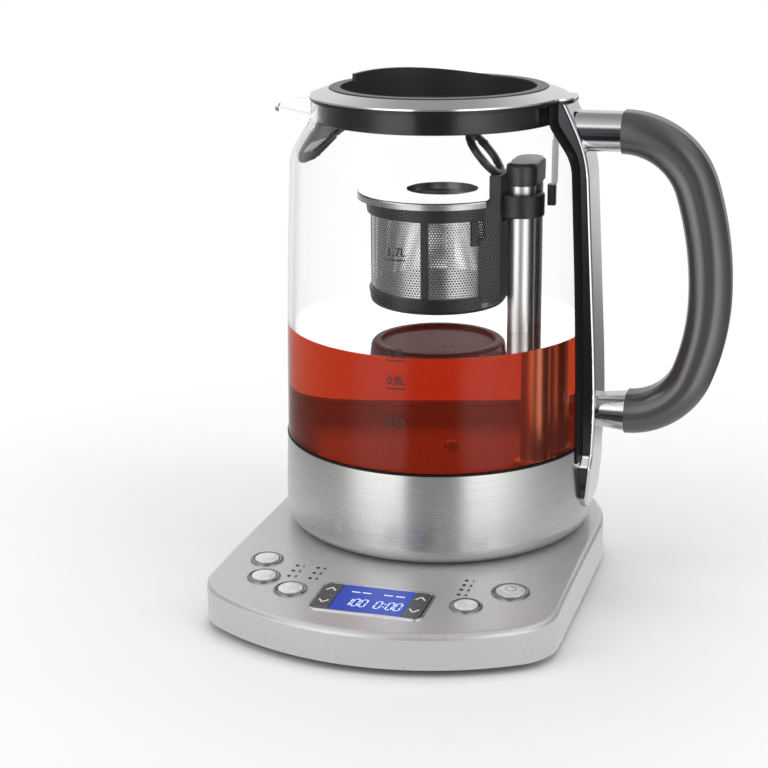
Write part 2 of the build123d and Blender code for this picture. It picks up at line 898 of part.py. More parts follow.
def lift_tube():
    body = tube(post_radius, post_radius - post_wall, pan_floor + touch, post_top, post_x, post_y)
    foot = tube(
        post_flange_radius,
        post_radius - post_wall,
        pan_floor + touch,
        pan_floor + post_flange_height,
        post_x,
        post_y,
    )
    return body + chamfer(foot.edges().group_by(Axis.Z)[-1].sort_by(SortBy.LENGTH)[-1], 0.5)


def guide_tube():
    body = tube(post_radius, post_radius - post_wall, pan_floor + touch, post_top, post_x, -post_y)
    foot = tube(
        post_flange_radius - 1,
        post_radius - post_wall,
        pan_floor + touch,
        pan_floor + post_flange_height,
        post_x,
        -post_y,
    )
    return body + foot


def post_cap():
    """One rounded cap over both posts, with a socket for each."""
    plan = SlotCenterToCenter(post_spread, 2 * cap_radius)
    body = Pos(post_x, 0, cap_bottom) * Rot(0, 0, 90) * extrude(plan, cap_top - cap_bottom)
    body = fillet(body.edges().group_by(Axis.Z)[-1], 2.0)
    for y in (post_y, -post_y):
        body -= tube(post_radius + fixed_gap, 0, cap_bottom - 1, post_top + touch, post_x, y)
    body -= tube(post_radius - post_wall - 1, 0, cap_bottom, post_top + 3.5, post_x, post_y)
    return body


def lift_screw():
    """The threaded shaft, plain here, with a collar that rests on its bush."""
    bottom = pan_underside - touch - 7.5
    body = tube(screw_shaft_radius, 0, bottom, post_top + 2.5, post_x, post_y)
    seat = pan_floor + 2.5 + seat_gap
    return body + tube(screw_collar_radius, 0, seat, seat + 2.0, post_x, post_y)


def shuttle_nut():
    """The nut inside the post, waisted where it carries its ring magnets."""
    outer = post_radius - post_wall - slide_gap
    bore = screw_shaft_radius + running_gap
    body = tube(outer, bore, lift_bottom, lift_top, post_x, post_y)
    for bottom in magnet_rows():
        body -= tube(outer, outer - 1.4, bottom, bottom + magnet_height / 2 - 0.5, post_x, post_y)
    return body


def magnet_rows():
    first = lift_bottom + (lift_height - magnet_height) / 2
    return [first, first + magnet_height / 2 + 0.5]


def shuttle_magnets():
    outer = post_radius - post_wall - slide_gap
    rings = []
    for bottom in magnet_rows():
        top = bottom + magnet_height / 2 - 0.5 - touch
        rings.append(tube(outer, outer - 1.4 + fixed_gap, bottom + touch, top, post_x, post_y))
    return rings


def lift_collar():
    """The outer collar on the post: a ring open towards the basket, with a hook plate."""
    body = tube(lift_radius, 0, lift_bottom, lift_top, post_x, post_y)
    body = fillet(body.edges().filter_by(GeomType.CIRCLE), 1.0)
    body -= block(0, holder_face + slide_gap, -50, 50, 0, 300)
    half = hook_width / 2
    left = holder_face - hook_depth
    plate = block(left, post_x, post_y - half, post_y + half, lift_bottom + 1.2, lift_top - 1.2)
    lip = block(
        left,
        left + hook_lip,
        post_y - half,
        post_y + half,
        lift_top - 1.3,
        lift_top - 1.2 + hook_lip_rise,
    )
    body += plate + lip
    body -= tube(lift_bore, 0, 0, 300, post_x, post_y)
    body -= collar_magnet_form(fixed_gap)
    return body


def collar_magnet_form(extra):
    """The C-shaped magnet, pressed in from below, and with extra room its groove."""
    inner = lift_bore + (lift_wall - magnet_wall) / 2
    ring = tube(
        inner + magnet_wall + extra,
        inner - extra,
        lift_bottom - extra * 20,
        lift_bottom + magnet_height + extra,
        post_x,
        post_y,
    )
    return ring - block(0, post_x - 2 + (0.5 - extra), -50, 50, 0, 300)


def spout_section(reach, half, depth, top, above):
    """A half-round section across the spout, flat along its rim or open some way above it."""
    corners = [(half, 0), (half, above), (-half, above), (-half, 0)]
    rim = Polyline(*corners) if above else Line(corners[0], corners[-1])
    bottom = EllipticalCenterArc((0, 0), half, depth, 180, arc_size=180)
    plane = Plane(origin=(-reach, 0, top), x_dir=(0, -1, 0), z_dir=(-1, 0, 0))
    return plane * make_face([bottom, rim])


def spout_form(shrink, extra, above):
    """The spout as a solid trough; shrink, extra and above make the cut for its inside."""
    reaches = [spout_root_reach - extra, spout_mid_reach, spout_tip_reach + extra]
    halves = [spout_root_half, spout_mid_half, spout_tip_half]
    depths = [spout_root_depth, spout_mid_depth, spout_tip_depth]
    drops = [0, spout_droop * 0.3, spout_droop]
    sections = []
    for reach, half, depth, drop in zip(reaches, halves, depths, drops):
        top = glass_top - drop
        sections.append(spout_section(reach, half - shrink, depth - shrink, top, above))
    return loft(sections)


def glass_body():
    foot_top = skirt_top + touch + gasket_bead
    outer = glass_form(0, foot_top, glass_top)
    outer += spout_form(0, 0, 0)
    outer -= glass_form(-glass_wall, foot_top - 1, glass_top + 1)
    inside = glass_foot_radius - glass_wall
    outer += tube(inside + glass_foot_wall, inside, pan_floor + 0.6 + touch, foot_top + 1.5)
    trough = spout_form(spout_wall, 0.01, 3)
    outer -= trough & block(-200, -neck_radius + glass_wall + 6, -60, 60, 0, 300)
    return outer


def neck_collar():
    """Black collar: a band inside the neck, a flange over the rim and a tab to the handle."""
    bottom = glass_top - collar_drop
    body = lathe(
        [
            (collar_bore, bottom),
            (collar_radius, bottom),
            (collar_radius, flange_bottom),
            (flange_radius, flange_bottom),
            (flange_radius, flange_top),
            (collar_bore, flange_top),
        ],
        [1.0, 1.0, 0, 0.3, 0.3, 0],
    )
    tab = tab_plan() - Circle(collar_bore + 1)
    body += Pos(0, 0, flange_bottom) * extrude(tab, flange_height)
    half = collar_window_half
    body -= block(-80, -40, -half, half, bottom - 1, flange_bottom - 1.6) - tube(
        collar_bore + 2.5, 0, 0, 300
    )
    strip = strip_plate(fixed_gap, flange_top)
    return body - strip


def tab_plan():
    half = tab_half_width
    inner = ring_inner_radius
    plan = Pos((inner + tab_reach) / 2, 0) * Rectangle(tab_reach - inner, 2 * half)
    return fillet([v for v in plan.vertices() if v.X > inner + 1], tab_corner)


def neck_ring():
    """Chrome ring, a shallow cone up to the lid, with the tab over the handle's root."""
    bottom = flange_top + touch
    outer = flange_radius - 0.2
    body = lathe(
        [
            (ring_inner_radius, bottom),
            (outer, bottom),
            (outer, bottom + ring_edge),
            (ring_inner_radius + 0.8, bottom + ring_rise),
            (ring_inner_radius, bottom + ring_rise),
        ],
        [0, 0, 0.35, 0.5, 0.2],
    )
    tab = tab_plan() - Circle(ring_inner_radius + 3)
    return body + Pos(0, 0, bottom) * extrude(tab, ring_edge)


def lid_bowl():
    """Lid: a rim on the collar, a bowl to reach into and a raised rear lip."""
    rim_outer = ring_inner_radius - slide_gap
    plug = collar_bore - slide_gap
    seat = flange_top + seat_gap
    rim_top = seat + lid_rim_rise
    floor_top = rim_top - lid_depth
    body = lathe(
        [
            (0, floor_top - lid_wall),
            (plug, floor_top - lid_wall),
            (plug, seat),
            (rim_outer, seat),
            (rim_outer, rim_top),
            (lid_rim_inner, rim_top),
            (lid_rim_inner, floor_top),
            (0, floor_top),
        ],
        [0, 2.0, 0, 0.3, 0.5, 0.5, 2.5, 0],
    )
    body += rear_lip(rim_top)
    groove = seat - seal_drop
    return body - tube(plug + 1, plug - seal_groove, groove - seal_groove, groove)


def rear_lip(rim_top):
    """Raised lip round the back of the rim, with an arched top that runs out at one end."""
    profile = Pos(lid_rim_inner + lip_width / 2, rim_top - 1 + (lip_rise + 1) / 2)
    lip = revolve(Plane.XZ * profile * Rectangle(lip_width, lip_rise + 1), Axis.Z, lip_start - lip_end)
    chord = (lid_rim_inner + lip_width / 2) * math.sin(math.radians(lip_peak - lip_end))
    arch = (chord**2 + lip_rise**2) / (2 * lip_rise)
    roof = Rot(0, 0, lip_peak) * Pos(0, 0, rim_top + lip_rise - arch) * Rot(0, 90, 0) * Cylinder(arch, 200)
    return (Rot(0, 0, lip_end) * lip) & roof


def lid_seal():
    plug = collar_bore - slide_gap
    groove = flange_top + seat_gap - seal_drop
    return tube(
        plug,
        plug - seal_groove + fixed_gap,
        groove - seal_groove + touch,
        groove - touch,
    )


def spout_filter_plan(inset):
    """Shield outline seen along the spout, as a face in the plane across it."""
    top = filter_top - (inset * 0.6)
    half = filter_half_width - inset * 1.3
    tip = filter_tip + inset * 1.25
    bulge_y = half * 0.74
    bulge_z = tip + (top - tip) * 0.33
    outline = make_face(
        [
            Line((-half, top), (half, top)),
            ThreePointArc((half, top), (bulge_y, bulge_z), (0, tip)),
            ThreePointArc((0, tip), (-bulge_y, bulge_z), (-half, top)),
        ]
    )
    return extrude(Plane.YZ * outline, -100)


def spout_filter_skin(gap, thickness):
    low = filter_tip - 5
    high = filter_top + 1
    outer = glass_form(-glass_wall - gap, low, high)
    return outer - glass_form(-glass_wall - gap - thickness, low - 1, high + 1)


def spout_filter_frame():
    skin = spout_filter_skin(slide_gap, filter_thickness)
    return skin & (spout_filter_plan(0) - spout_filter_plan(filter_band))


def spout_filter_mesh():
    gap = slide_gap + (filter_thickness - filter_mesh_wall) / 2
    return spout_filter_skin(gap, filter_mesh_wall) & spout_filter_plan(filter_band + fixed_gap)


def strip_plate(extra, top):
    x = collar_radius - strip_gap - strip_thickness
    return block(
        x - extra,
        x + strip_thickness + extra,
        -strip_half_width - extra,
        strip_half_width + extra,
        strip_bottom - extra,
        top,
    )


def level_strip():
    body = strip_plate(0, glass_top - collar_drop + 4)
    narrow = strip_half_width * 0.55
    for side in (-1, 1):
        edge = sorted((side * narrow, side * (strip_half_width + 1)))
        body -= block(0, 80, edge[0], edge[1], glass_top - collar_drop - 8, 300)
    lower = [e for e in body.edges().filter_by(Axis.X) if e.center().Z < strip_bottom + 1]
    return fillet(lower, 1.5)


def level_tip():
    x = collar_radius - strip_gap
    body = block(
        x - level_tip_depth,
        x,
        -level_tip_half_width,
        level_tip_half_width,
        level_tip_bottom,
        strip_bottom - touch,
    )
    return fillet(body.edges().filter_by(Axis.Z), 0.8)


# Handle
def spine_slab():
    """A slab behind the spine's outer face, which is flat across and curved from top to foot."""
    top = glass_top - touch
    low = spine_foot_height - 1
    inner = glass_foot_radius / 2
    corners = [
        (neck_radius + spine_top_depth, top),
        (neck_radius + spine_neck_depth, glass_top - spine_neck_drop),
        (shoulder_radius + spine_shoulder_depth, shoulder_height + spine_shoulder_rise),
        (glass_belly_radius + spine_belly_depth, glass_belly_height - spine_belly_drop),
        (glass_foot_radius + spine_foot_depth, skirt_top + spine_foot_rise),
        (skirt_top_radius + spine_skirt_depth, spine_join_height - 2),
        (skirt_radius + spine_end_depth, low),
        (inner, low),
        (inner, top),
    ]
    upper = [0, spine_neck_round, spine_shoulder_round, spine_belly_round]
    lower = [spine_foot_round, spine_skirt_round, 0, 0, 0]
    side = make_face(FilletPolyline(*corners, radius=upper + lower, close=True))
    return extrude(Plane.XZ * side, spine_foot_half_width + 1, both=True)


def spine_plan():
    """Outline seen along +X: a long strip with a wider rounded foot."""
    half = spine_half_width
    foot_half = spine_foot_half_width
    join = spine_join_height
    low = spine_foot_height
    return make_face(
        FilletPolyline(
            (-half, glass_top),
            (-half, join + 2),
            (-foot_half, join - 3),
            (-foot_half, low),
            (foot_half, low),
            (foot_half, join - 3),
            (half, join + 2),
            (half, glass_top),
            radius=[0, 4, 4, foot_half * 0.55, foot_half * 0.55, 4, 4, 0],
            close=True,
        )
    )


def jug_envelope():
    """The jug's outside with room for the spine gasket above and none on the skirt."""
    upper = glass_form(gasket_thickness + fixed_gap, spine_join_height, glass_top + 5)
    lower = skirt_form(fixed_gap, skirt_top)
    return upper + lower


def stub_section(x, height, tall, wide):
    plane = Plane(origin=(x, 0, height), x_dir=(0, 1, 0), z_dir=(1, 0, 0))
    corner = min(tall, wide) * 0.46
    return plane * RectangleRounded(wide, tall, corner)


def handle_spine():
    body = spine_slab() & extrude(Plane.YZ * spine_plan(), 120)
    outer = []
    for edge in body.edges():
        middle = edge.center()
        if abs(middle.Y) > spine_half_width * 0.5 and middle.X > 60 and abs(edge.tangent_at(0.5).X) < 0.9:
            outer.append(edge)
    body = fillet(outer, spine_edge_radius)
    root = stub_top_root
    body += extrude(stub_section(root, stub_top_height, stub_height, stub_width), grip_start - root)
    root = stub_bottom_root
    body += loft(
        [
            stub_section(root, stub_bottom_height, stub_neck_height, stub_neck_width),
            stub_section(grip_end, stub_bottom_height, stub_height, stub_width),
        ]
    )
    body -= jug_envelope()
    body -= tube(collar_radius, 0, 0, 300)
    bore = core_radius + fixed_gap
    depth = 2 * (core_reach + 1)
    body -= Pos(grip_start, 0, stub_top_height) * Rot(0, 90, 0) * Cylinder(bore, depth)
    body -= Pos(grip_end, 0, stub_bottom_height) * Rot(0, 90, 0) * Cylinder(bore, depth)
    for y in (-handle_screw_spread, handle_screw_spread):
        hole = Cylinder(handle_screw_radius + fixed_gap, 2 * (handle_screw_reach - 0.4))
        body -= Pos(skirt_radius, y, handle_screw_height) * Rot(0, 90, 0) * hole
    return body


def spine_gasket():
    low = spine_join_height + touch
    band = glass_form(gasket_thickness, low, glass_top - touch)
    band -= glass_form(fixed_gap, low - 1, glass_top + 1)
    band -= tube(skirt_top_radius + 0.2 + fixed_gap, 0, low - 1, skirt_top + gasket_bead + 0.2)
    return band & block(30, 100, -gasket_half_width, gasket_half_width, low, glass_top)


def two_arc_radii(across, down, turn):
    """Radii of a tight arc and a wide arc that end upright, a step across and down."""
    s = math.sin(math.radians(turn))
    c = math.cos(math.radians(turn))
    wide = (down - across * (1 - c) / s) / (c - (1 - s) * (1 - c) / s)
    tight = (across - wide * (1 - s)) / s
    return tight, wide


def grip_arcs():
    """Centre line of the grip: four tangent arcs in the handle's plane."""
    across = grip_reach - grip_start
    tight, wide = two_arc_radii(across, stub_top_height - grip_mid_height, grip_top_turn)
    first = JernArc((grip_start, stub_top_height), (1, 0), tight, -grip_top_turn)
    second = JernArc(first @ 1, first % 1, wide, grip_top_turn - 90)
    across = grip_reach - grip_end
    tight, wide = two_arc_radii(across, grip_mid_height - stub_bottom_height, grip_bottom_turn)
    third = JernArc(second @ 1, second % 1, wide, grip_bottom_turn - 90)
    fourth = JernArc(third @ 1, third % 1, tight, -grip_bottom_turn)
    return [first.edge(), second.edge(), third.edge(), fourth.edge()]


def sweep_handle(section, root):
    """Sweeps a section along the grip, from and to a distance inside the stubs."""
    edges = grip_arcs()
    if root > 0:
        high = (grip_start, stub_top_height)
        low = (grip_end, stub_bottom_height)
        edges.insert(0, Line((high[0] - root, high[1]), high).edge())
        edges.append(Line(low, (low[0] - root, low[1])).edge())
    path = Plane.XZ * Wire(edges)
    start = (grip_start - root, 0, stub_top_height)
    plane = Plane(origin=start, x_dir=(0, 1, 0), z_dir=(1, 0, 0))
    return sweep(plane * section, path=path)


def handle_grip():
    body = sweep_handle(RectangleRounded(grip_width, grip_thickness, grip_corner), 0)
    return body - sweep_handle(Circle(core_radius + fixed_gap), 0)


def handle_core():
    return sweep_handle(Circle(core_radius), core_reach)


def handle_screws():
    screws = []
    inside = skirt_radius - skirt_wall - 0.4
    for y in (-handle_screw_spread, handle_screw_spread):
        x = math.sqrt(inside**2 - y**2) - 0.9
        place = Pos(x, y, handle_screw_height) * Rot(0, 90, 0)
        length = skirt_radius + handle_screw_reach - 0.6 - x
        shank = place * extrude(Circle(handle_screw_radius), length)
        head = place * extrude(Circle(handle_screw_head), -1.8)
        screws.append(shank + head)
    return screws


# Basket
def basket_frame():
    """Top ring, bottom ring and ribs, one moulding round the mesh cup."""
    inner = mesh_radius + fixed_gap
    ring_bottom = basket_top - basket_ring_height
    low_top = basket_bottom + basket_bottom_height
    body = lathe(
        [
            (inner, ring_bottom),
            (basket_radius - basket_ring_taper - basket_edge, ring_bottom),
            (basket_radius - basket_ring_taper, ring_bottom + basket_edge),
            (basket_radius, basket_top - basket_edge),
            (basket_radius - basket_edge, basket_top),
            (inner, basket_top),
        ]
    )
    body += lathe(
        [
            (inner - 4, basket_bottom),
            (basket_bottom_radius - 1, basket_bottom),
            (basket_bottom_radius, low_top - basket_edge),
            (basket_bottom_radius - basket_edge, low_top),
            (inner, low_top),
            (inner, basket_bottom + 1.6),
            (inner - 4, basket_bottom + 1.6),
        ],
        [0, 3.0, 0, 0, 0, 0, 0],
    )
    outer = inner + rib_thickness
    for angle in rib_angles:
        body += tube(outer, inner, low_top - 1, ring_bottom + 1) & rib_sector(angle)
    short = tube(outer, inner, ring_bottom - short_rib_length, ring_bottom + 1)
    body += short & rib_sector(short_rib_angle)
    body -= hook_pocket(fixed_gap)
    return body - holder_form(fixed_gap, basket_bottom - 1)


def rib_sector(angle):
    return Rot(0, 0, angle) * block(mesh_radius / 2, 60, -rib_width / 2, rib_width / 2, 0, 300)


def basket_mesh():
    """Steel cup, plain here; its sides and floor are perforated."""
    floor = basket_bottom + 1.6 + touch
    cup = tube(mesh_radius, 0, floor, basket_top - 0.3)
    return cup - tube(mesh_radius - mesh_wall, 0, floor + mesh_wall, basket_top)


def holder_form(extra, bottom):
    """The holder's block between the mesh cup and the post, before its pocket is cut."""
    half = holder_half_width + extra
    inner = mesh_radius + 2 * fixed_gap - extra
    body = block(inner - 12, holder_reach, post_y - half, post_y + half, bottom, holder_top)
    return body - tube(inner, 0, 0, 300)


def hook_pocket(extra):
    """Room for the lift collar's hook plate, at rest and while the basket is unhooked."""
    half = hook_width / 2 + slide_gap + extra
    left = holder_reach - hook_depth - slide_gap
    floor = lift_bottom + 1.2 - slide_gap - unhook_travel
    ceiling = lift_top - 1.2 + seat_gap
    body = block(left, 80, post_y - half, post_y + half, floor, ceiling)
    undercut = left + hook_lip + 2 * slide_gap
    return body + block(left, undercut, post_y - half, post_y + half, floor, ceiling + hook_lip_rise)


def basket_holder():
    """Upright behind the basket that hooks on the lift collar and carries the finger loop."""
    body = holder_form(0, holder_bottom)
    outer = [e for e in body.edges().filter_by(Axis.Z) if e.center().X > holder_reach - 0.5]
    body = fillet(outer, 1.2)
    body -= block(0, disc_flat + slide_gap, -60, 60, basket_top - slide_gap, holder_top + 1)
    body -= hook_pocket(0)
    near = post_y - holder_half_width
    high = basket_top - basket_ring_height
    body -= block(0, 28, near - 1, near + holder_notch_width, high - holder_notch_height, high)
    return body + finger_loop()


def finger_loop():
    """Flat oval ring that leans in over the basket."""
    outer = Ellipse(loop_reach, loop_half_width)
    inner = Ellipse(loop_reach - loop_band, loop_half_width - loop_band)
    ring = extrude(outer - inner, loop_thickness / 2, both=True)
    ring = chamfer(ring.edges(), 0.7)
    lean = math.radians(loop_tilt)
    x = holder_reach - loop_thickness / 2 - math.sin(lean) * loop_reach
    z = holder_top - loop_root + math.cos(lean) * loop_reach
    return Pos(x, post_y, z) * Rot(0, 90 - loop_tilt, 0) * ring


def basket_lid():
    """Steel disc on the basket: turned-down edges, a filling hole and a flat side."""
    bottom = basket_top + seat_gap
    top = bottom + disc_thickness
    rim = mesh_radius - mesh_wall - slide_gap
    body = lathe(
        [
            (0, bottom),
            (rim - 1, bottom),
            (rim - 1, bottom - disc_rim),
            (rim, bottom - disc_rim),
            (rim, bottom),
            (disc_radius - disc_thickness, bottom),
            (disc_radius - disc_thickness, bottom - disc_edge_drop),
            (disc_radius, bottom - disc_edge_drop),
            (disc_radius, top),
            (0, top),
        ],
        [0, 0, 0, 0, 0, 0, 0, 0, 0.9, 0],
    )
    body += tube(disc_hole + 0.8, 0, bottom - disc_rim, top, *disc_hole_spot)
    body -= tube(disc_hole, 0, bottom - disc_rim - 1, top + 1, *disc_hole_spot)
    return body - block(disc_flat, 80, -60, 60, bottom - disc_edge_drop - 1, 300)


def build_all():
    parts["base_top_cover"] = base_top_cover()
    parts["base_bottom_cover"] = base_bottom_cover()
    parts["base_feet"] = base_feet()
    parts["base_screws"] = base_screws()
    parts["power_socket"] = power_socket()
    parts["socket_contacts"] = socket_contacts()
    parts["control_board"] = control_board()
    parts["key_switches"] = key_switches()
    parts["indicator_lenses"] = indicator_lenses()
    parts["button_bezels"] = button_bezels()
    for name, spot in button_spots.items():
        parts[name] = round_button(*spot)
    for name, centre in key_centres().items():
        parts[name] = arrow_key(*centre)
    parts["display_frame"] = display_frame()
    parts["display_window"] = display_window()
    parts["display_module"] = display_module()
    parts["cord_gland"] = cord_gland()
    parts["jug_skirt"] = jug_skirt()
    parts["skirt_gasket"] = skirt_gasket()
    parts["heater_pan"] = heater_pan()
    parts["heating_element"] = heating_element()
    parts["temperature_sensor"] = temperature_sensor()
    parts["jug_bottom_cover"] = jug_bottom_cover()
    parts["bottom_screws"] = bottom_screws()
    parts["jug_connector"] = jug_connector()
    parts["lift_motor"] = lift_motor()
    parts["screw_bush"] = screw_bush()
    parts["lift_tube"] = lift_tube()
    parts["guide_tube"] = guide_tube()
    parts["post_cap"] = post_cap()
    parts["glass_body"] = glass_body()
    parts["neck_collar"] = neck_collar()
    parts["neck_ring"] = neck_ring()
    parts["spout_filter_frame"] = spout_filter_frame()
    parts["spout_filter_mesh"] = spout_filter_mesh()
    parts["level_strip"] = level_strip()
    parts["level_tip"] = level_tip()
    parts["handle_spine"] = handle_spine()
    parts["spine_gasket"] = spine_gasket()
    parts["handle_grip"] = handle_grip()
    parts["handle_core"] = handle_core()
    parts["handle_screws"] = handle_screws()
    parts["lift_screw"] = lift_screw()
    parts["shuttle_nut"] = shuttle_nut()
    parts["shuttle_magnets"] = shuttle_magnets()
    parts["lift_collar"] = lift_collar()
    parts["collar_magnets"] = collar_magnet_form(0)
    for part in (basket_frame, basket_mesh, basket_holder, basket_lid):
        parts[part.__name__] = Pos(-basket_shift, 0, 0) * part()
    parts["lid_bowl"] = lid_bowl()
    parts["lid_seal"] = lid_seal()


def footprint_centre():
    """Plan centre of the whole, from the grip, the spout or base, and the base's ends."""
    right = grip_reach + grip_thickness / 2
    left = max(base_half_width, spout_tip_reach)
    back = base_half_width + gland_proud
    return (right - left) / 2, (back - base_front_reach) / 2


def write_parts():
    os.makedirs("parts", exist_ok=True)
    centre_x, centre_y = footprint_centre()
    step = Pos(-centre_x, -centre_y, 0)
    for name, shape in parts.items():
        solids = shape if isinstance(shape, list) else shape.solids()
        placed = [step * solid for solid in solids]
        whole = placed[0] if len(placed) == 1 else Compound(children=placed)
        export_step(whole, "parts/" + name + ".step")


build_all()
write_parts()
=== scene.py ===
import json
import math

import bmesh
import bpy
from mathutils import Matrix, Vector


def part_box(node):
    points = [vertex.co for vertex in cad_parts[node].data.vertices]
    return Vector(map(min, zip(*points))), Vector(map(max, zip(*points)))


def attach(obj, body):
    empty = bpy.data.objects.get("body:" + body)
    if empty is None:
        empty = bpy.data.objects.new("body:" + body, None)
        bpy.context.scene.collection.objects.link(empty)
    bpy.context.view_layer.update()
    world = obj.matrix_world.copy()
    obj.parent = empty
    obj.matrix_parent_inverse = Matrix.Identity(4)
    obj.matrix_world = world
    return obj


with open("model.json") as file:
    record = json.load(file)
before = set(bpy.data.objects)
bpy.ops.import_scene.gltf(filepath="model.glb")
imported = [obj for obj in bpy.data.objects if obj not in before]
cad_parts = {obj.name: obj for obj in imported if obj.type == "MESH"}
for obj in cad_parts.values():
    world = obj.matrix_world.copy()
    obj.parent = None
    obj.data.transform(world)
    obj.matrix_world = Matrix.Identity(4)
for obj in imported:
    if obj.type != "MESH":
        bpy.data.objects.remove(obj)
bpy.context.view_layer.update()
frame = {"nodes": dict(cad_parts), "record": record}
nodes = frame["nodes"]
print("frame loaded:", len(nodes), "nodes")

# the jug's axis and the basket's, from the frame's own boxes
skirtLow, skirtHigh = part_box("jug_skirt")
meshLow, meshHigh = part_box("basket_mesh")
jugX = (skirtLow.x + skirtHigh.x) / 2
jugY = (skirtLow.y + skirtHigh.y) / 2
basketX = (meshLow.x + meshHigh.x) / 2

# the key panel: its slope, where it starts in front of the jug's axis, and its height there
panelFall = math.radians(1.95)
panelCrease = 0.070
panelHeight = 0.022

# the direction that the studio's strips are counted from
studioFront = math.radians(-74.8)


# helpers for pieces
def deselectAll():
    if bpy.context.object and bpy.context.object.mode != "OBJECT":
        bpy.ops.object.mode_set(mode="OBJECT")
    bpy.ops.object.select_all(action="DESELECT")


def makeActive(piece):
    deselectAll()
    piece.select_set(True)
    bpy.context.view_layer.objects.active = piece
    return piece


def namedPiece(name):
    piece = bpy.context.object
    piece.name = name
    piece.data.name = name
    return piece


def bakePlace(piece):
    makeActive(piece)
    bpy.ops.object.transform_apply(location=True, rotation=True, scale=True)
    return piece


def joinPieces(pieces, name):
    deselectAll()
    for piece in pieces:
        piece.select_set(True)
    bpy.context.view_layer.objects.active = pieces[0]
    if len(pieces) > 1:
        bpy.ops.object.join()
    return namedPiece(name)


def smooth(piece, degrees):
    makeActive(piece)
    bpy.ops.object.shade_smooth_by_angle(angle=math.radians(degrees))
    return piece


def setMaterial(piece, material):
    piece.data.materials.clear()
    piece.data.materials.append(material)
    return piece


def onPanel(x, reach, lift):
    # a place on the key panel: x from the jug's axis, reach in front of it
    beyond = reach - panelCrease
    y = jugY - panelCrease - beyond - lift * math.sin(panelFall)
    z = panelHeight - beyond * math.tan(panelFall) + lift * math.cos(panelFall)
    return Vector((jugX + x, y, z))


def panelTurn():
    return Matrix.Rotation(panelFall, 4, "X")


def placeOnPanel(piece, x, reach, lift):
    piece.data.transform(Matrix.Translation(onPanel(x, reach, lift)) @ panelTurn())
    piece.data.update()
    return piece


# helpers for materials
def newMaterial(name, color, roughness, metallic=0.0, **extra):
    material = bpy.data.materials.new(name)
    material.use_nodes = True
    shader = shaderOf(material)
    shader.inputs["Base Color"].default_value = (*color, 1.0)
    shader.inputs["Roughness"].default_value = roughness
    shader.inputs["Metallic"].default_value = metallic
    for key, value in extra.items():
        shader.inputs[key.replace("_", " ")].default_value = value
    return material


def shaderOf(material):
    return material.node_tree.nodes["Principled BSDF"]


def addNode(tree, kind, **settings):
    node = tree.nodes.new(kind)
    for key, value in settings.items():
        setattr(node, key, value)
    return node


def plug(tree, value, socket):
    if isinstance(value, (int, float)):
        socket.default_value = value
    elif value is not None:
        tree.links.new(value, socket)


def mathNode(tree, operation, first, second=None):
    node = addNode(tree, "ShaderNodeMath", operation=operation)
    plug(tree, first, node.inputs[0])
    plug(tree, second, node.inputs[1])
    return node.outputs[0]


def lengthNode(tree, first, second):
    squares = [mathNode(tree, "MULTIPLY", side, side) for side in (first, second)]
    return mathNode(tree, "SQRT", mathNode(tree, "ADD", *squares))


def rangeNode(tree, value, fromLow, fromHigh, toLow=0.0, toHigh=1.0, curve="LINEAR"):
    node = addNode(tree, "ShaderNodeMapRange", interpolation_type=curve)
    sources = {"Value": value, "From Min": fromLow, "From Max": fromHigh, "To Min": toLow, "To Max": toHigh}
    for label, source in sources.items():
        plug(tree, source, node.inputs[label])
    return node.outputs["Result"]


def mixValues(tree, share, first, second):
    # the Mix node keeps plain values on its sockets 2 and 3
    node = addNode(tree, "ShaderNodeMix", data_type="FLOAT")
    plug(tree, share, node.inputs[0])
    plug(tree, first, node.inputs[2])
    plug(tree, second, node.inputs[3])
    return node.outputs[0]


def mixColors(tree, share, first, second):
    # the Mix node keeps colours on its sockets 6 and 7
    node = addNode(tree, "ShaderNodeMix", data_type="RGBA")
    plug(tree, share, node.inputs[0])
    node.inputs[6].default_value = (*first, 1.0)
    node.inputs[7].default_value = (*second, 1.0)
    return node.outputs[2]


def mixShaders(tree, share, first, second):
    mix = addNode(tree, "ShaderNodeMixShader")
    plug(tree, share, mix.inputs["Fac"])
    tree.links.new(first, mix.inputs[1])
    tree.links.new(second, mix.inputs[2])
    return mix.outputs[0]


def objectParts(tree):
    # the x, y and z of a spot on the piece
    place = addNode(tree, "ShaderNodeTexCoord")
    apart = addNode(tree, "ShaderNodeSeparateXYZ")
    tree.links.new(place.outputs["Object"], apart.inputs["Vector"])
    return apart.outputs


def dotNode(tree, vector, direction):
    node = addNode(tree, "ShaderNodeVectorMath", operation="DOT_PRODUCT")
    tree.links.new(vector, node.inputs[0])
    node.inputs[1].default_value = direction
    return node.outputs["Value"]


def mirroredBefore(tree, path):
    # 1 on a ray that a glossy surface has mirrored, also once it has passed glass
    return mathNode(tree, "GREATER_THAN", path.outputs["Glossy Depth"], 0.5)


def newGroup(name, inputs, outputs):
    group = bpy.data.node_groups.new(name, "ShaderNodeTree")
    for label, kind, value in inputs:
        socket = group.interface.new_socket(label, in_out="INPUT", socket_type=kind)
        if value is not None:
            socket.default_value = value
    for label, kind in outputs:
        group.interface.new_socket(label, in_out="OUTPUT", socket_type=kind)
    start = group.nodes.new("NodeGroupInput")
    end = group.nodes.new("NodeGroupOutput")
    return group, start, end


def useGroup(tree, group, **values):
    node = addNode(tree, "ShaderNodeGroup", node_tree=group)
    for key, value in values.items():
        node.inputs[key.replace("_", " ")].default_value = value
    return node


# shared effects
def surfaceGroup(name, values):
    # a group that gives an uneven roughness and a bump
    numbers = [(label, "NodeSocketFloat", value) for label, value in values.items()]
    return newGroup(name, numbers, [("Roughness", "NodeSocketFloat"), ("Normal", "NodeSocketVector")])


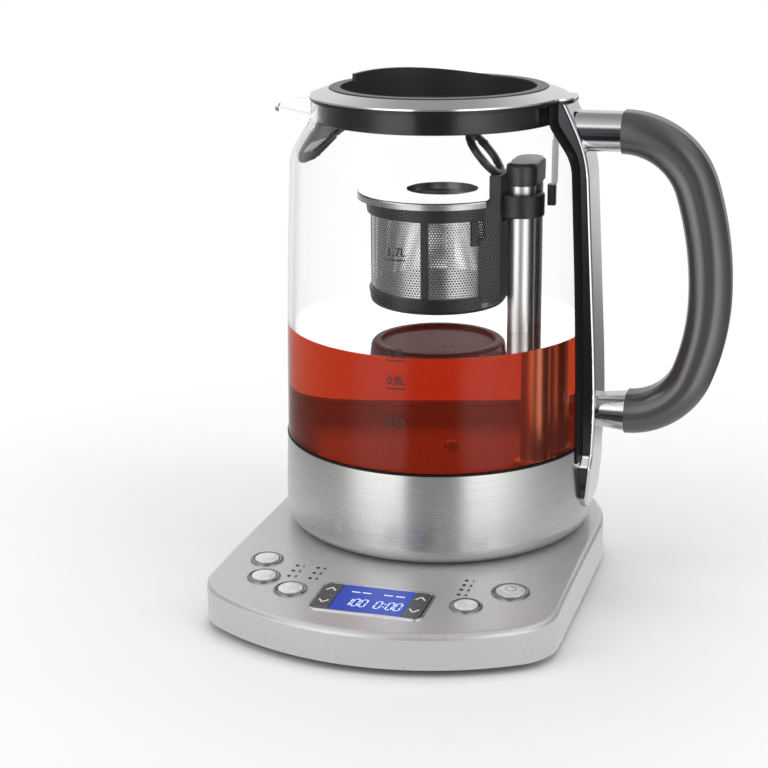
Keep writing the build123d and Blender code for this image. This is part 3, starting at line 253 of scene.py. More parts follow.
def finishSurface(group, start, end, vector, scale, bumpDepth):
    # noise drives the roughness between its two ends, and the bump
    noiseEnds = (0.3, 0.7)
    noise = addNode(group, "ShaderNodeTexNoise")
    noise.inputs["Detail"].default_value = 3.0
    group.links.new(vector, noise.inputs["Vector"])
    plug(group, scale, noise.inputs["Scale"])
    roughEnds = (start.outputs["Rough Low"], start.outputs["Rough High"])
    rough = rangeNode(group, noise.outputs["Fac"], *noiseEnds, *roughEnds)
    bump = addNode(group, "ShaderNodeBump")
    bump.inputs["Distance"].default_value = bumpDepth
    group.links.new(start.outputs["Bump"], bump.inputs["Strength"])
    group.links.new(noise.outputs["Fac"], bump.inputs["Height"])
    group.links.new(rough, end.inputs["Roughness"])
    group.links.new(bump.outputs["Normal"], end.inputs["Normal"])
    return group


def buildFineGrain():
    # soft uneven roughness and a faint grain for moulded and sprayed surfaces
    group, start, end = surfaceGroup(
        "fineGrain", {"Scale": 900.0, "Rough Low": 0.35, "Rough High": 0.45, "Bump": 0.05}
    )
    place = addNode(group, "ShaderNodeTexCoord")
    return finishSurface(group, start, end, place.outputs["Object"], start.outputs["Scale"], 0.0002)


def buildTurnedBrush():
    # brush lines that run round the jug's axis, on upright walls and on level floors
    longLines = 3.0
    group, start, end = surfaceGroup(
        "turnedBrush", {"Lines": 2600.0, "Rough Low": 0.25, "Rough High": 0.42, "Bump": 0.12}
    )
    parts = objectParts(group)
    x = mathNode(group, "SUBTRACT", parts["X"], jugX)
    y = mathNode(group, "SUBTRACT", parts["Y"], jugY)
    turn = mathNode(group, "ARCTAN2", y, x)
    across = mathNode(group, "ADD", parts["Z"], lengthNode(group, x, y))
    together = addNode(group, "ShaderNodeCombineXYZ")
    plug(group, mathNode(group, "MULTIPLY", mathNode(group, "COSINE", turn), longLines), together.inputs["X"])
    plug(group, mathNode(group, "MULTIPLY", mathNode(group, "SINE", turn), longLines), together.inputs["Y"])
    plug(group, mathNode(group, "MULTIPLY", across, start.outputs["Lines"]), together.inputs["Z"])
    return finishSurface(group, start, end, together.outputs["Vector"], 1.0, 0.0001)


meshHoles = {
    "pitch": 0.0014,
    "hole": 0.33,
    "wallRadius": 0.03185,
    "rowStep": 0.866,
    "floorCut": 0.4,
}


def buildPerforation():
    # staggered round holes: round the basket's axis on upright walls, in plan and smaller on level ones
    group, start, end = newGroup(
        "perforation", [], [("Solid", "NodeSocketFloat"), ("Level", "NodeSocketFloat")]
    )
    parts = objectParts(group)
    x = mathNode(group, "SUBTRACT", parts["X"], basketX)
    y = mathNode(group, "SUBTRACT", parts["Y"], jugY)
    along = mathNode(group, "MULTIPLY", mathNode(group, "ARCTAN2", y, x), meshHoles["wallRadius"])
    facing = addNode(group, "ShaderNodeNewGeometry")
    rise = dotNode(group, facing.outputs["True Normal"], (0, 0, 1))
    level = mathNode(group, "GREATER_THAN", mathNode(group, "ABSOLUTE", rise), 0.5)
    u = mathNode(group, "DIVIDE", mixValues(group, level, along, x), meshHoles["pitch"])
    rowPitch = meshHoles["pitch"] * meshHoles["rowStep"]
    v = mathNode(group, "DIVIDE", mixValues(group, level, parts["Z"], y), rowPitch)
    row = mathNode(group, "FLOOR", v)
    shift = mathNode(group, "MULTIPLY", mathNode(group, "FLOORED_MODULO", row, 2.0), 0.5)
    du = mathNode(group, "SUBTRACT", mathNode(group, "FRACT", mathNode(group, "ADD", u, shift)), 0.5)
    dv = mathNode(group, "SUBTRACT", mathNode(group, "FRACT", v), 0.5)
    away = lengthNode(group, du, mathNode(group, "MULTIPLY", dv, meshHoles["rowStep"]))
    narrow = mathNode(group, "SUBTRACT", 1.0, mathNode(group, "MULTIPLY", level, meshHoles["floorCut"]))
    hole = mathNode(group, "MULTIPLY", meshHoles["hole"], narrow)
    group.links.new(mathNode(group, "GREATER_THAN", away, hole), end.inputs["Solid"])
    group.links.new(level, end.inputs["Level"])
    return group


# brightness of the studio's strips, by the share of a full turn: the pairs are share and brightness
stripStops = [
    (0.00, 0.92), (0.07, 0.90), (0.12, 0.55), (0.17, 0.42), (0.25, 0.32),
    (0.30, 0.45), (0.343, 1.35), (0.405, 1.90), (0.435, 1.50), (0.453, 0.28),
    (0.515, 0.24), (0.542, 0.90), (0.58, 1.85), (0.62, 1.50), (0.665, 0.85),
    (0.72, 0.40), (0.83, 0.15), (0.90, 0.22), (0.93, 0.90), (1.00, 0.92),
]


def buildStudioBands():
    # light and dark strips that stand round the object
    curveTop = 2.0
    halfTurn = 1.5
    group, start, end = newGroup(
        "studioBands", [("Place", "NodeSocketVector", None)], [("Brightness", "NodeSocketFloat")]
    )
    apart = addNode(group, "ShaderNodeSeparateXYZ")
    group.links.new(start.outputs["Place"], apart.inputs["Vector"])
    turn = mathNode(group, "ARCTAN2", apart.outputs["Y"], apart.outputs["X"])
    share = mathNode(group, "DIVIDE", mathNode(group, "SUBTRACT", turn, studioFront), 2 * math.pi)
    share = mathNode(group, "FRACT", mathNode(group, "ADD", share, halfTurn))
    ramp = addNode(group, "ShaderNodeFloatCurve")
    curve = ramp.mapping.curves[0]
    for place, brightness in stripStops[1:-1]:
        curve.points.new(place, brightness / curveTop)
    curve.points[0].location = (0.0, stripStops[0][1] / curveTop)
    curve.points[-1].location = (1.0, stripStops[-1][1] / curveTop)
    ramp.mapping.update()
    group.links.new(share, ramp.inputs["Value"])
    group.links.new(mathNode(group, "MULTIPLY", ramp.outputs["Value"], curveTop), end.inputs["Brightness"])
    return group


fineGrain = buildFineGrain()
turnedBrush = buildTurnedBrush()
perforation = buildPerforation()
studioBands = buildStudioBands()
print("shared effects built")


# finishes
def grained(name, color, low, high, metallic=0.0, scale=900.0, bump=0.05, **extra):
    material = newMaterial(name, color, (low + high) / 2, metallic, **extra)
    tree = material.node_tree
    shader = shaderOf(material)
    grain = useGroup(tree, fineGrain, Scale=scale, Rough_Low=low, Rough_High=high, Bump=bump)
    tree.links.new(grain.outputs["Roughness"], shader.inputs["Roughness"])
    if bump > 0:
        tree.links.new(grain.outputs["Normal"], shader.inputs["Normal"])
    return material


def brushed(name, color, low, high, **extra):
    material = newMaterial(name, color, (low + high) / 2, 1.0, **extra)
    tree = material.node_tree
    brush = useGroup(tree, turnedBrush, Rough_Low=low, Rough_High=high)
    for effect in ("Roughness", "Normal"):
        tree.links.new(brush.outputs[effect], shaderOf(material).inputs[effect])
    return material


def steel(name, color, roughness):
    return newMaterial(name, color, roughness, 1.0)


glassLook = {
    "ior": 1.13,
    "color": (1.0, 1.0, 1.0),
    "edgeShadeColor": (0.74, 0.745, 0.75),
    "edgeShadeFrom": 0.62,
    "lightPassed": (0.97, 0.975, 0.975),
}


def makeClearGlass():
    # painted shade: the colour is greyer where the glass is seen edge on; open to light on shadow and diffuse
    # rays
    look = glassLook
    material = newMaterial("clearGlass", look["color"], 0.0, IOR=look["ior"], Transmission_Weight=1.0)
    tree = material.node_tree
    shader = shaderOf(material)
    glance = addNode(tree, "ShaderNodeLayerWeight")
    glance.inputs["Blend"].default_value = 0.5
    # painted edge shade, mixed into the base colour at grazing angles
    rim = rangeNode(tree, glance.outputs["Facing"], look["edgeShadeFrom"], 1.0, curve="SMOOTHSTEP")
    tree.links.new(mixColors(tree, rim, look["color"], look["edgeShadeColor"]), shader.inputs["Base Color"])
    clear = addNode(tree, "ShaderNodeBsdfTransparent")
    clear.inputs["Color"].default_value = (*look["lightPassed"], 1.0)
    path = addNode(tree, "ShaderNodeLightPath")
    either = mathNode(tree, "MAXIMUM", path.outputs["Is Shadow Ray"], path.outputs["Is Diffuse Ray"])
    mix = mixShaders(tree, either, shader.outputs[0], clear.outputs[0])
    tree.links.new(mix, tree.nodes["Material Output"].inputs["Surface"])
    return material


meshLook = {
    "wallColor": (0.45, 0.45, 0.447),
    "shadedFloorColor": (0.06, 0.06, 0.06),
    "roughness": 0.22,
    "floorGloss": 0.1,
}


def makePerforatedSteel():
    # steel walls with holes, and a floor painted dark and dull as shade, with smaller holes
    look = meshLook
    material = newMaterial(
        "perforatedSteel", look["wallColor"], look["roughness"], 1.0, Specular_IOR_Level=look["floorGloss"]
    )
    tree = material.node_tree
    shader = shaderOf(material)
    holes = useGroup(tree, perforation)
    level = holes.outputs["Level"]
    tree.links.new(holes.outputs["Solid"], shader.inputs["Alpha"])
    tree.links.new(mathNode(tree, "SUBTRACT", 1.0, level), shader.inputs["Metallic"])
    # painted shade: level faces take a dark colour
    tree.links.new(mixColors(tree, level, look["wallColor"], look["shadedFloorColor"]), shader.inputs["Base Color"])
    return material


spineLook = {
    "color": (0.74, 0.74, 0.75),
    "darkReflectionColor": (0.05, 0.05, 0.055),
    "roughness": 0.09,
    "sideFrom": 0.93,
    "sideFull": 0.985,
}


def makeSpineChrome():
    # plated piece; the flat side towards the keys has a painted dark reflection in its colour
    look = spineLook
    material = steel("spineChrome", look["color"], look["roughness"])
    tree = material.node_tree
    facing = addNode(tree, "ShaderNodeNewGeometry")
    aside = dotNode(tree, facing.outputs["Normal"], (0, -1, 0))
    # painted reflection: faces turned towards the keys are tinted dark
    share = rangeNode(tree, aside, look["sideFrom"], look["sideFull"], curve="SMOOTHSTEP")
    tone = mixColors(tree, share, look["color"], look["darkReflectionColor"])
    tree.links.new(tone, shaderOf(material).inputs["Base Color"])
    return material


displayLook = {"glow": (0.035, 0.085, 0.62), "strength": 0.60}


def makeDisplayBlue():
    # lit as the camera sees it, and lights nothing round it
    material = newMaterial("displayBlue", (0.004, 0.010, 0.07), 0.12)
    tree = material.node_tree
    shader = shaderOf(material)
    shader.inputs["Emission Color"].default_value = (*displayLook["glow"], 1.0)
    path = addNode(tree, "ShaderNodeLightPath")
    strength = mathNode(tree, "MULTIPLY", path.outputs["Is Camera Ray"], displayLook["strength"])
    tree.links.new(strength, shader.inputs["Emission Strength"])
    return material


finishes = {
    "silver_panel": grained("silverPanel", (0.70, 0.695, 0.70), 0.27, 0.33, 0.55, 260.0, 0.0),
    "black_plastic": grained("blackPlastic", (0.034, 0.034, 0.036), 0.34, 0.44),
    "dark_base": grained("darkBase", (0.028, 0.028, 0.03), 0.45, 0.6),
    "rubber_black": grained("rubberBlack", (0.022, 0.022, 0.022), 0.6, 0.75),
    "zinc_steel": steel("zincSteel", (0.55, 0.55, 0.53), 0.35),
    "brass_contact": steel("brassContact", (0.75, 0.55, 0.25), 0.3),
    "board_green": newMaterial("boardGreen", (0.03, 0.16, 0.07), 0.45),
    "switch_grey": newMaterial("switchGrey", (0.12, 0.12, 0.12), 0.5),
    "lens_white": newMaterial("lensTinted", (0.03, 0.035, 0.10), 0.2),
    "chrome": steel("chromePlate", (0.86, 0.86, 0.87), 0.07),
    "button_silver": grained("buttonSilver", (0.88, 0.88, 0.88), 0.26, 0.30, 0.3, 260.0, 0.0),
    "button_dark": grained("buttonGrey", (0.80, 0.80, 0.81), 0.26, 0.30, 0.35, 260.0, 0.0),
    "key_grey": newMaterial("keyGrey", (0.17, 0.17, 0.175), 0.22, 0.6),
    "display_blue": makeDisplayBlue(),
    "module_white": newMaterial("moduleWhite", (0.6, 0.6, 0.58), 0.5),
    "skirt_steel": brushed(
        "skirtSteel", (0.60, 0.60, 0.595), 0.20, 0.32, Anisotropic=0.8, Anisotropic_Rotation=0.25
    ),
    "pan_steel": brushed("panSteel", (0.22, 0.22, 0.22), 0.3, 0.45),
    "silicone_black": grained(
        "siliconeBlack", (0.006, 0.006, 0.006), 0.35, 0.45, Specular_IOR_Level=0.2
    ),
    "silicone_clear": newMaterial("siliconeClear", (0.7, 0.7, 0.7), 0.4),
    "clear_glass": makeClearGlass(),
    "collar_black": newMaterial("collarBlack", (0.006, 0.006, 0.007), 0.20),
    "grip_dark": grained(
        "gripDark", (0.044, 0.043, 0.046), 0.20, 0.26, 0.0, 2200.0, 0.02, Specular_IOR_Level=1.3
    ),
    "lid_black": grained("lidBlack", (0.038, 0.038, 0.040), 0.28, 0.36),
    "magnet_grey": steel("magnetGrey", (0.3, 0.3, 0.3), 0.35),
    "basket_grey": grained("basketGrey", (0.010, 0.010, 0.011), 0.32, 0.42),
    "mesh_steel": steel("meshSteel", (0.56, 0.56, 0.555), 0.24),
    "tube_steel": steel("tubeSteel", (0.70, 0.70, 0.69), 0.34),
}

# pieces whose finish differs from the rest of their slot
perforatedSteel = makePerforatedSteel()
ownFinishes = {
    "basket_mesh": perforatedSteel,
    "spout_filter_mesh": perforatedSteel,
    "handle_spine": makeSpineChrome(),
    "button_bezels": steel("bezelSteel", (0.36, 0.36, 0.365), 0.2),
    "level_strip": newMaterial("stripPlastic", (0.72, 0.73, 0.74), 0.3, Alpha=0.55),
    "basket_lid": steel("discSteel", (0.41, 0.41, 0.415), 0.24),
}

for entry in frame["record"]["subparts"]:
    finish = ownFinishes.get(entry["node"], finishes[entry["material_slot"]])
    setMaterial(nodes[entry["node"]], finish)
print("finishes set on the CAD nodes")


# tea in the jug
teaSizes = {
    "bottom": 0.0581,
    "panTop": 0.0651,
    "top": 0.1213,
    "panRadius": 0.0700,
    "lowRadius": 0.0720,
    "topRadius": 0.0708,
    "sides": 160,
    "smoothBelow": 40,
    "color": (1.0, 0.95, 0.88),
    "ior": 1.33,
    "wallMirror": (0.3, 0.3, 0.3),
    "passed": (0.81, 0.33, 0.10),
    "density": 44.0,
    "paintedGlow": (1.0, 0.18, 0.07),
    "paintedGlowStrength": 1.3,
    "topMirror": (0.80, 0.79, 0.79),
    "topMirrorShare": 0.62,
    "topDepth": 0.00002,
    "panDepth": 0.0002,
}


def makeTea():
    deselectAll()
    bpy.ops.mesh.primitive_cone_add(
        vertices=teaSizes["sides"],
        radius1=teaSizes["lowRadius"],
        radius2=teaSizes["topRadius"],
        depth=teaSizes["top"] - teaSizes["panTop"],
        location=(jugX, jugY, (teaSizes["panTop"] + teaSizes["top"]) / 2),
    )
    tea = bakePlace(namedPiece("tea_fill"))
    bpy.ops.object.mode_set(mode="EDIT")
    bpy.ops.mesh.select_mode(type="FACE")
    bpy.ops.mesh.select_all(action="DESELECT")
    mesh = bmesh.from_edit_mesh(tea.data)
    for face in mesh.faces:
        face.select = face.normal.z < -0.9
    bmesh.update_edit_mesh(tea.data)
    bpy.ops.mesh.inset(thickness=teaSizes["lowRadius"] - teaSizes["panRadius"], depth=0)
    bpy.ops.mesh.extrude_region_move(
        TRANSFORM_OT_translate={"value": (0, 0, teaSizes["bottom"] - teaSizes["panTop"])}
    )
    bpy.ops.object.mode_set(mode="OBJECT")
    return smooth(tea, teaSizes["smoothBelow"])


def makeTeaVolume(tree):
    # absorbs more with depth, and has a faint painted glow that brightens the tea where little light reaches
    depth = addNode(tree, "ShaderNodeVolumeAbsorption")
    depth.inputs["Color"].default_value = (*teaSizes["passed"], 1.0)
    depth.inputs["Density"].default_value = teaSizes["density"]
    # painted light: emission that stands in for light reaching the tea
    paintedGlow = addNode(tree, "ShaderNodeEmission")
    paintedGlow.inputs["Color"].default_value = (*teaSizes["paintedGlow"], 1.0)
    paintedGlow.inputs["Strength"].default_value = teaSizes["paintedGlowStrength"]
    both = addNode(tree, "ShaderNodeAddShader")
    tree.links.new(depth.outputs[0], both.inputs[0])
    tree.links.new(paintedGlow.outputs[0], both.inputs[1])
    return both.outputs[0]


def makeTeaColor():
    # the level top mirrors strongly, and the faces that lie on the pan are open
    material = newMaterial("teaAmber", teaSizes["color"], 0.0, IOR=teaSizes["ior"], Transmission_Weight=1.0)
    shaderOf(material).inputs["Specular Tint"].default_value = (*teaSizes["wallMirror"], 1.0)
    tree = material.node_tree
    out = tree.nodes["Material Output"]
    height = objectParts(tree)["Z"]
    level = mathNode(tree, "GREATER_THAN", height, teaSizes["top"] - teaSizes["topDepth"])
    mirror = addNode(tree, "ShaderNodeBsdfGlossy")
    mirror.inputs["Roughness"].default_value = 0.0
    mirror.inputs["Color"].default_value = (*teaSizes["topMirror"], 1.0)
    share = mathNode(tree, "MULTIPLY", level, teaSizes["topMirrorShare"])
    skin = mixShaders(tree, share, shaderOf(material).outputs[0], mirror.outputs[0])
    touching = mathNode(tree, "LESS_THAN", height, teaSizes["panTop"] + teaSizes["panDepth"])
    bare = addNode(tree, "ShaderNodeBsdfTransparent")
    tree.links.new(mixShaders(tree, touching, skin, bare.outputs[0]), out.inputs["Surface"])
    tree.links.new(makeTeaVolume(tree), out.inputs["Volume"])
    return material


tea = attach(setMaterial(makeTea(), makeTeaColor()), "jug")
print("tea poured")


# flat printing that the glass, the display and the panel share
printSizes = {"textDepth": 0.00003, "textWeight": 0.018, "barDepth": 0.00006}
markInk = newMaterial("markInk", (0.02, 0.02, 0.02), 0.5)


def flatText(words, size, name):
    deselectAll()
    bpy.ops.object.text_add()
    text = bpy.context.object
    text.data.body = words
    text.data.size = size
    text.data.align_x = "CENTER"
    text.data.align_y = "CENTER"
    text.data.extrude = printSizes["textDepth"]
    text.data.offset = size * printSizes["textWeight"]
    bpy.ops.object.convert(target="MESH")
    return namedPiece(name)


def flatBar(x, y, width, height, name, thick=printSizes["barDepth"]):
    deselectAll()
    bpy.ops.mesh.primitive_cube_add(size=1, location=(x, y, 0))
    bar = namedPiece(name)
    bar.scale = (width, height, thick)
    return bakePlace(bar)


# marks on the glass: plain numbers over short ticks
glassMarks = {
    "heights": {"1.7": 0.1661, "1.0": 0.1205, "0.8": 0.1075, "0.5": 0.0892},
    "textSize": 0.0052,
    "numberRise": 0.0034,
    "tickWidth": 0.0092,
    "tickHeight": 0.0006,
    "tickCuts": 6,
    "overGlass": 0.00004,
    "footRadius": 0.0749,
    "bellyRadius": 0.0737,
    "shoulderRadius": 0.0705,
    "footHeight": 0.058,
    "bellyHeight": 0.130,
    "shoulderHeight": 0.2035,
}


def glassRadius(z):
    low, high = ("foot", "belly") if z < glassMarks["bellyHeight"] else ("belly", "shoulder")
    lowHeight, highHeight = glassMarks[low + "Height"], glassMarks[high + "Height"]
    lowRadius, highRadius = glassMarks[low + "Radius"], glassMarks[high + "Radius"]
    share = (z - lowHeight) / (highHeight - lowHeight)
    return lowRadius + share * (highRadius - lowRadius)


def wrapOnGlass(piece, z):
    # bends a flat drawing round the front of the glass
    for vertex in piece.data.vertices:
        height = z + vertex.co.y
        radius = glassRadius(height) + glassMarks["overGlass"] + vertex.co.z
        turn = vertex.co.x / radius
        vertex.co = (jugX + radius * math.sin(turn), jugY - radius * math.cos(turn), height)
    piece.data.update()
    return piece


def makeTick():
    tick = makeActive(flatBar(0, 0, glassMarks["tickWidth"], glassMarks["tickHeight"], "tick"))
    bpy.ops.object.mode_set(mode="EDIT")
    bpy.ops.mesh.select_all(action="SELECT")
    bpy.ops.mesh.subdivide(number_cuts=glassMarks["tickCuts"])
    bpy.ops.object.mode_set(mode="OBJECT")
    return tick


def makeGlassMarks():
    made = []
    for words, z in glassMarks["heights"].items():
        made.append(wrapOnGlass(makeTick(), z))
        number = flatText(words + "L", glassMarks["textSize"], "number")
        made.append(wrapOnGlass(number, z + glassMarks["numberRise"]))
    return joinPieces(made, "glass_marks")


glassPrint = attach(setMaterial(makeGlassMarks(), markInk), "jug")
print("glass marks made")


# display digits, up to seven strokes each, and a row of bars above them
displaySizes = {
    "reach": 0.1137,
    "lift": 0.00062,
    "lean": 0.10,
    "numbers": {"100": -0.0114, "0:00": 0.0026},
    "numberDrop": -0.0040,
    "digitHeight": 0.0070,
    "digitWidth": 0.0025,
    "stroke": 0.0006,
    "strokeGap": 1.3,
    "pitch": 0.0036,
    "colonPitch": 0.0019,
    "dotSize": 1.2,
    "dotShare": 0.2,
    "barPlaces": (-0.0100, -0.0049, 0.0052, 0.0107),
    "barRise": 0.0062,
    "barWidth": 0.0040,
    "barHeight": 0.0008,
    "glow": (0.62, 0.70, 1.0),
    "glowStrength": 0.7,
}
litStrokes = {"0": "abcdef", "1": "bc"}


def digitStrokes(sign):
    width, height, stroke = (displaySizes[key] for key in ("digitWidth", "digitHeight", "stroke"))
    if sign == ":":
        dot = stroke * displaySizes["dotSize"]
        return [(0, side * height * displaySizes["dotShare"], dot, dot) for side in (1, -1)]
    gap = stroke * displaySizes["strokeGap"]
    level = (width - gap, stroke)
    upright = (stroke, height / 2 - gap)
    places = {
        "a": (0, height / 2, *level),
        "d": (0, -height / 2, *level),
        "f": (-width / 2, height / 4, *upright),
        "b": (width / 2, height / 4, *upright),
        "e": (-width / 2, -height / 4, *upright),
        "c": (width / 2, -height / 4, *upright),
    }
    return [places[key] for key in litStrokes[sign]]


def makeDigits():
    made = []
    for words, x in displaySizes["numbers"].items():
        for sign in words:
            gap = displaySizes["colonPitch"] if sign == ":" else displaySizes["pitch"]
            for strokeX, strokeY, width, height in digitStrokes(sign):
                place = (x + gap / 2 + strokeX, displaySizes["numberDrop"] + strokeY)
                made.append(flatBar(*place, width, height, "stroke"))
            x += gap
    for x in displaySizes["barPlaces"]:
        bar = (x, displaySizes["barRise"], displaySizes["barWidth"], displaySizes["barHeight"])
        made.append(flatBar(*bar, "stroke"))
    piece = joinPieces(made, "display_digits")
    for vertex in piece.data.vertices:
        vertex.co.x += vertex.co.y * displaySizes["lean"]
    return placeOnPanel(piece, 0, displaySizes["reach"], displaySizes["lift"])


digitGlow = newMaterial(
    "digitGlow",
    displaySizes["glow"],
    0.4,
    Emission_Color=(*displaySizes["glow"], 1.0),
    Emission_Strength=displaySizes["glowStrength"],
)
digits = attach(setMaterial(makeDigits(), digitGlow), "base")
print("display digits made")


# arrows on the four keys
keySizes = {"width": 0.0044, "rise": 0.0030, "stroke": 0.0008, "lift": 0.00092}
arrowInk = newMaterial("arrowInk", (0.85, 0.85, 0.86), 0.5)


def makeArrow(name, up):
    half, rise = keySizes["width"] / 2, keySizes["rise"]
    halves = []
    for side in (-1, 1):
        bar = flatBar(0, 0, math.hypot(half, rise), keySizes["stroke"], "half")
        turn = Matrix.Rotation(-side * math.atan2(rise, half), 4, "Z")
        bar.data.transform(Matrix.Translation((side * half / 2, 0, 0)) @ turn)
        halves.append(bar)
    piece = joinPieces(halves, name)
    if not up:
        piece.data.transform(Matrix.Rotation(math.pi, 4, "Z"))
    return piece


for node in ("key_left_up", "key_left_down", "key_right_up", "key_right_down"):
    low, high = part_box(node)
    x = (low.x + high.x) / 2 - jugX
    reach = jugY - (low.y + high.y) / 2
    arrow = placeOnPanel(makeArrow(node + "_arrow", node.endswith("up")), x, reach, keySizes["lift"])
    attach(setMaterial(arrow, arrowInk), node + "_body")
print("key arrows made")


# plain numbers by the indicator lamps
panelMarks = {
    "leftRows": (0.0861, 0.0918, 0.0976),
    "leftColumns": (-0.0450, -0.0348),
    "rightRows": (0.0824, 0.0874, 0.0922, 0.0974),
    "rightColumn": 0.0353,
    "textSize": 0.0030,
    "aside": 0.0032,
    "lift": 0.00008,
}


def makePanelMarks():
    left = [(column, row) for column in panelMarks["leftColumns"] for row in panelMarks["leftRows"]]
    right = [(panelMarks["rightColumn"], row) for row in panelMarks["rightRows"]]
    made = []
    for places in (left, right):
        for count, (x, reach) in enumerate(places, 1):
            number = flatText(str(count), panelMarks["textSize"], "number")
            made.append(placeOnPanel(number, x + panelMarks["aside"], reach, panelMarks["lift"]))
    return joinPieces(made, "panel_marks")


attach(setMaterial(makePanelMarks(), markInk), "base")
print("panel numbers made")


# ring and bar on the start button
startMark = {
    "ringRadius": 0.0024,
    "ringStroke": 0.00028,
    "ringFlatness": 0.4,
    "ringSides": 40,
    "strokeSides": 8,
    "barRise": 0.0011,
    "barWidth": 0.0005,
    "barLength": 0.0026,
    "barDepth": 0.0002,
    "sink": 0.00022,
}


def makeStartMark():
    low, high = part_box("button_start")
    deselectAll()
    bpy.ops.mesh.primitive_torus_add(
        major_radius=startMark["ringRadius"],
        minor_radius=startMark["ringStroke"],
        major_segments=startMark["ringSides"],
        minor_segments=startMark["strokeSides"],
    )
    ring = namedPiece("ring")
    ring.scale = (1, 1, startMark["ringFlatness"])
    bakePlace(ring)
    bar = flatBar(
        0, startMark["barRise"], startMark["barWidth"], startMark["barLength"], "bar", startMark["barDepth"]
    )
    mark = joinPieces([ring, bar], "start_mark")
    place = Vector(((low.x + high.x) / 2, (low.y + high.y) / 2, high.z - startMark["sink"]))
    mark.data.transform(Matrix.Translation(place) @ panelTurn())
    return mark


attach(setMaterial(makeStartMark(), markInk), "button_start_body")
print("start mark made")


# stage
floorSizes = {
    "side": 12.0,
    "color": (0.93, 0.93, 0.93),
    "nearEdge": 0.16,
    "farEdge": 0.37,
    "mirrorNear": 0.72,
    "mirrorNearEdge": 0.20,
    "mirrorFarEdge": 0.28,
    "whiteLevel": 1.0,
}


def makeFloorColor():
    # matt near the object and plain white away from it; mirrors see the studio's strips in it
    material = bpy.data.materials.new("paleFloor")
    material.use_nodes = True
    tree = material.node_tree
    tree.nodes.clear()
    place = addNode(tree, "ShaderNodeTexCoord")
    offset = addNode(tree, "ShaderNodeVectorMath", operation="SUBTRACT")
    tree.links.new(place.outputs["Object"], offset.inputs[0])
    offset.inputs[1].default_value = (jugX, jugY, 0)
    length = addNode(tree, "ShaderNodeVectorMath", operation="LENGTH")
    tree.links.new(offset.outputs["Vector"], length.inputs[0])
    distance = length.outputs["Value"]
    away = rangeNode(tree, distance, floorSizes["nearEdge"], floorSizes["farEdge"], curve="SMOOTHSTEP")
    matt = addNode(tree, "ShaderNodeBsdfDiffuse")
    matt.inputs["Color"].default_value = (*floorSizes["color"], 1.0)
    white = addNode(tree, "ShaderNodeEmission")
    white.inputs["Strength"].default_value = floorSizes["whiteLevel"]
    plain = mixShaders(tree, away, matt.outputs[0], white.outputs[0])
    bands = useGroup(tree, studioBands)
    tree.links.new(offset.outputs["Vector"], bands.inputs["Place"])
    fade = rangeNode(tree, distance, floorSizes["mirrorNearEdge"], floorSizes["mirrorFarEdge"])
    level = mixValues(tree, fade, floorSizes["mirrorNear"], bands.outputs["Brightness"])
    mirrored = addNode(tree, "ShaderNodeEmission")
    tree.links.new(level, mirrored.inputs["Strength"])
    path = addNode(tree, "ShaderNodeLightPath")
    both = mixShaders(tree, mirroredBefore(tree, path), plain, mirrored.outputs[0])
    tree.links.new(both, addNode(tree, "ShaderNodeOutputMaterial").inputs["Surface"])
    return material


def makeFloor():
    deselectAll()
    bpy.ops.mesh.primitive_plane_add(size=floorSizes["side"], location=(0, 0, 0))
    return setMaterial(namedPiece("floor"), makeFloorColor())


floor = makeFloor()
print("floor laid")


worldSizes = {
    "diffuse": 0.38,
    "mirrored": 1.0,
    "seen": 1.0,
    "ceilingFrom": 0.35,
    "ceilingFull": 0.8,
    "ceilingMiddle": 0.40,
    "ceilingSides": 1.05,
    "sidesFrom": 0.08,
    "sidesFull": 0.55,
}


def ceilingLevel(tree, direction):
    # the ceiling is dimmer over the middle and brighter to both sides
    aside = dotNode(tree, direction, (-math.sin(studioFront), math.cos(studioFront), 0))
    ends = [worldSizes[key] for key in ("sidesFrom", "sidesFull", "ceilingMiddle", "ceilingSides")]
    return rangeNode(tree, mathNode(tree, "ABSOLUTE", aside), *ends, curve="SMOOTHSTEP")


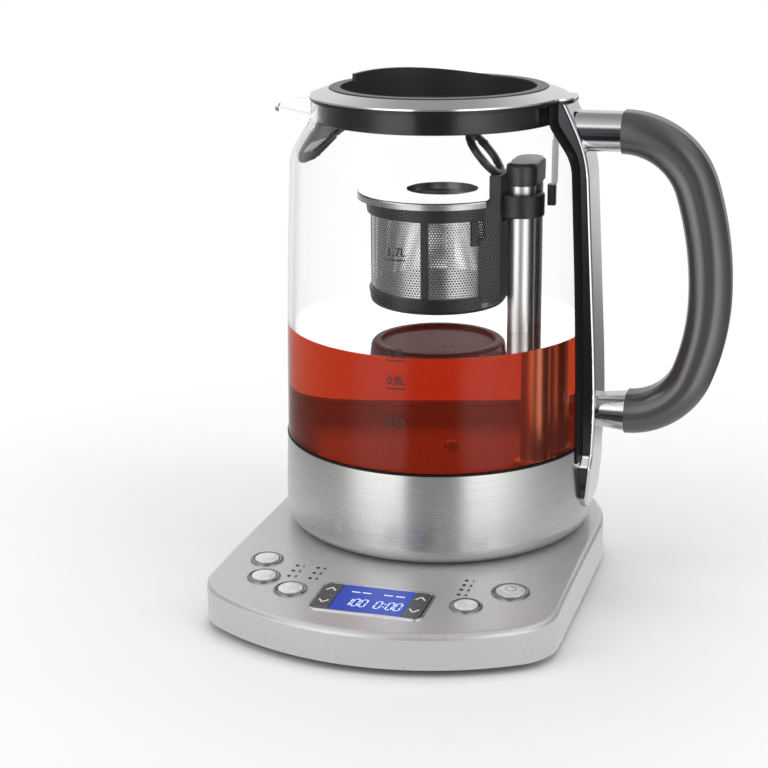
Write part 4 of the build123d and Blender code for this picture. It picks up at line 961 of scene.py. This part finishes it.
def makeWorld():
    # white as seen directly and through the glass, soft grey for the light it gives,
    # and strips with a pale ceiling in mirrors
    world = bpy.data.worlds.new("studio")
    bpy.context.scene.world = world
    world.use_nodes = True
    tree = world.node_tree
    tree.nodes.clear()
    direction = addNode(tree, "ShaderNodeTexCoord").outputs["Generated"]
    apart = addNode(tree, "ShaderNodeSeparateXYZ")
    tree.links.new(direction, apart.inputs["Vector"])
    bands = useGroup(tree, studioBands)
    tree.links.new(direction, bands.inputs["Place"])
    ends = (worldSizes["ceilingFrom"], worldSizes["ceilingFull"])
    rise = rangeNode(tree, apart.outputs["Z"], *ends, curve="SMOOTHSTEP")
    level = mixValues(tree, rise, bands.outputs["Brightness"], ceilingLevel(tree, direction))
    lights = {}
    for name in ("diffuse", "mirrored", "seen"):
        lights[name] = addNode(tree, "ShaderNodeBackground")
        lights[name].inputs["Strength"].default_value = worldSizes[name]
    lights["seen"].inputs["Color"].default_value = (1, 1, 1, 1)
    tree.links.new(level, lights["mirrored"].inputs["Strength"])
    path = addNode(tree, "ShaderNodeLightPath")
    seen = mathNode(tree, "MAXIMUM", path.outputs["Is Camera Ray"], path.outputs["Is Transmission Ray"])
    first = mixShaders(tree, seen, lights["diffuse"].outputs[0], lights["seen"].outputs[0])
    both = mixShaders(tree, mirroredBefore(tree, path), first, lights["mirrored"].outputs[0])
    tree.links.new(both, addNode(tree, "ShaderNodeOutputWorld").inputs["Surface"])


makeWorld()

lampTarget = Vector((0, 0, 0.12))
lampSizes = {
    "leftBox": {"place": (-0.95, -0.75, 0.75), "size": (0.9, 1.1), "power": 5.0},
    "rightBox": {"place": (1.05, -0.25, 0.70), "size": (0.7, 1.1), "power": 4.0},
    "topBox": {"place": (0.0, 0.15, 1.25), "size": (1.3, 1.1), "power": 9.0},
    "backBox": {"place": (-0.25, 1.2, 0.7), "size": (1.2, 0.8), "power": 4.0},
}


def addLamp(name, place, size, power):
    light = bpy.data.lights.new(name, "AREA")
    light.shape = "RECTANGLE"
    light.size, light.size_y = size
    light.energy = power
    lamp = bpy.data.objects.new(name, light)
    bpy.context.scene.collection.objects.link(lamp)
    lamp.location = place
    lamp.rotation_euler = (lampTarget - lamp.location).to_track_quat("-Z", "Y").to_euler()
    lamp.visible_glossy = False


for name, sizes in lampSizes.items():
    addLamp(name, **sizes)

cameraSizes = {
    "place": (0.18479, -0.75336, 0.33239),
    "turn": (73.279, 0.62, 16.98),
    "lens": 80.68,
    "sensorWidth": 36.0,
    "clipStart": 0.01,
}


def addCamera():
    data = bpy.data.cameras.new("camera")
    data.lens = cameraSizes["lens"]
    data.sensor_width = cameraSizes["sensorWidth"]
    data.clip_start = cameraSizes["clipStart"]
    camera = bpy.data.objects.new("camera", data)
    bpy.context.scene.collection.objects.link(camera)
    camera.location = cameraSizes["place"]
    camera.rotation_euler = [math.radians(angle) for angle in cameraSizes["turn"]]
    bpy.context.scene.camera = camera


addCamera()
bpy.context.scene.view_settings.view_transform = "Standard"
print("stage and camera set")
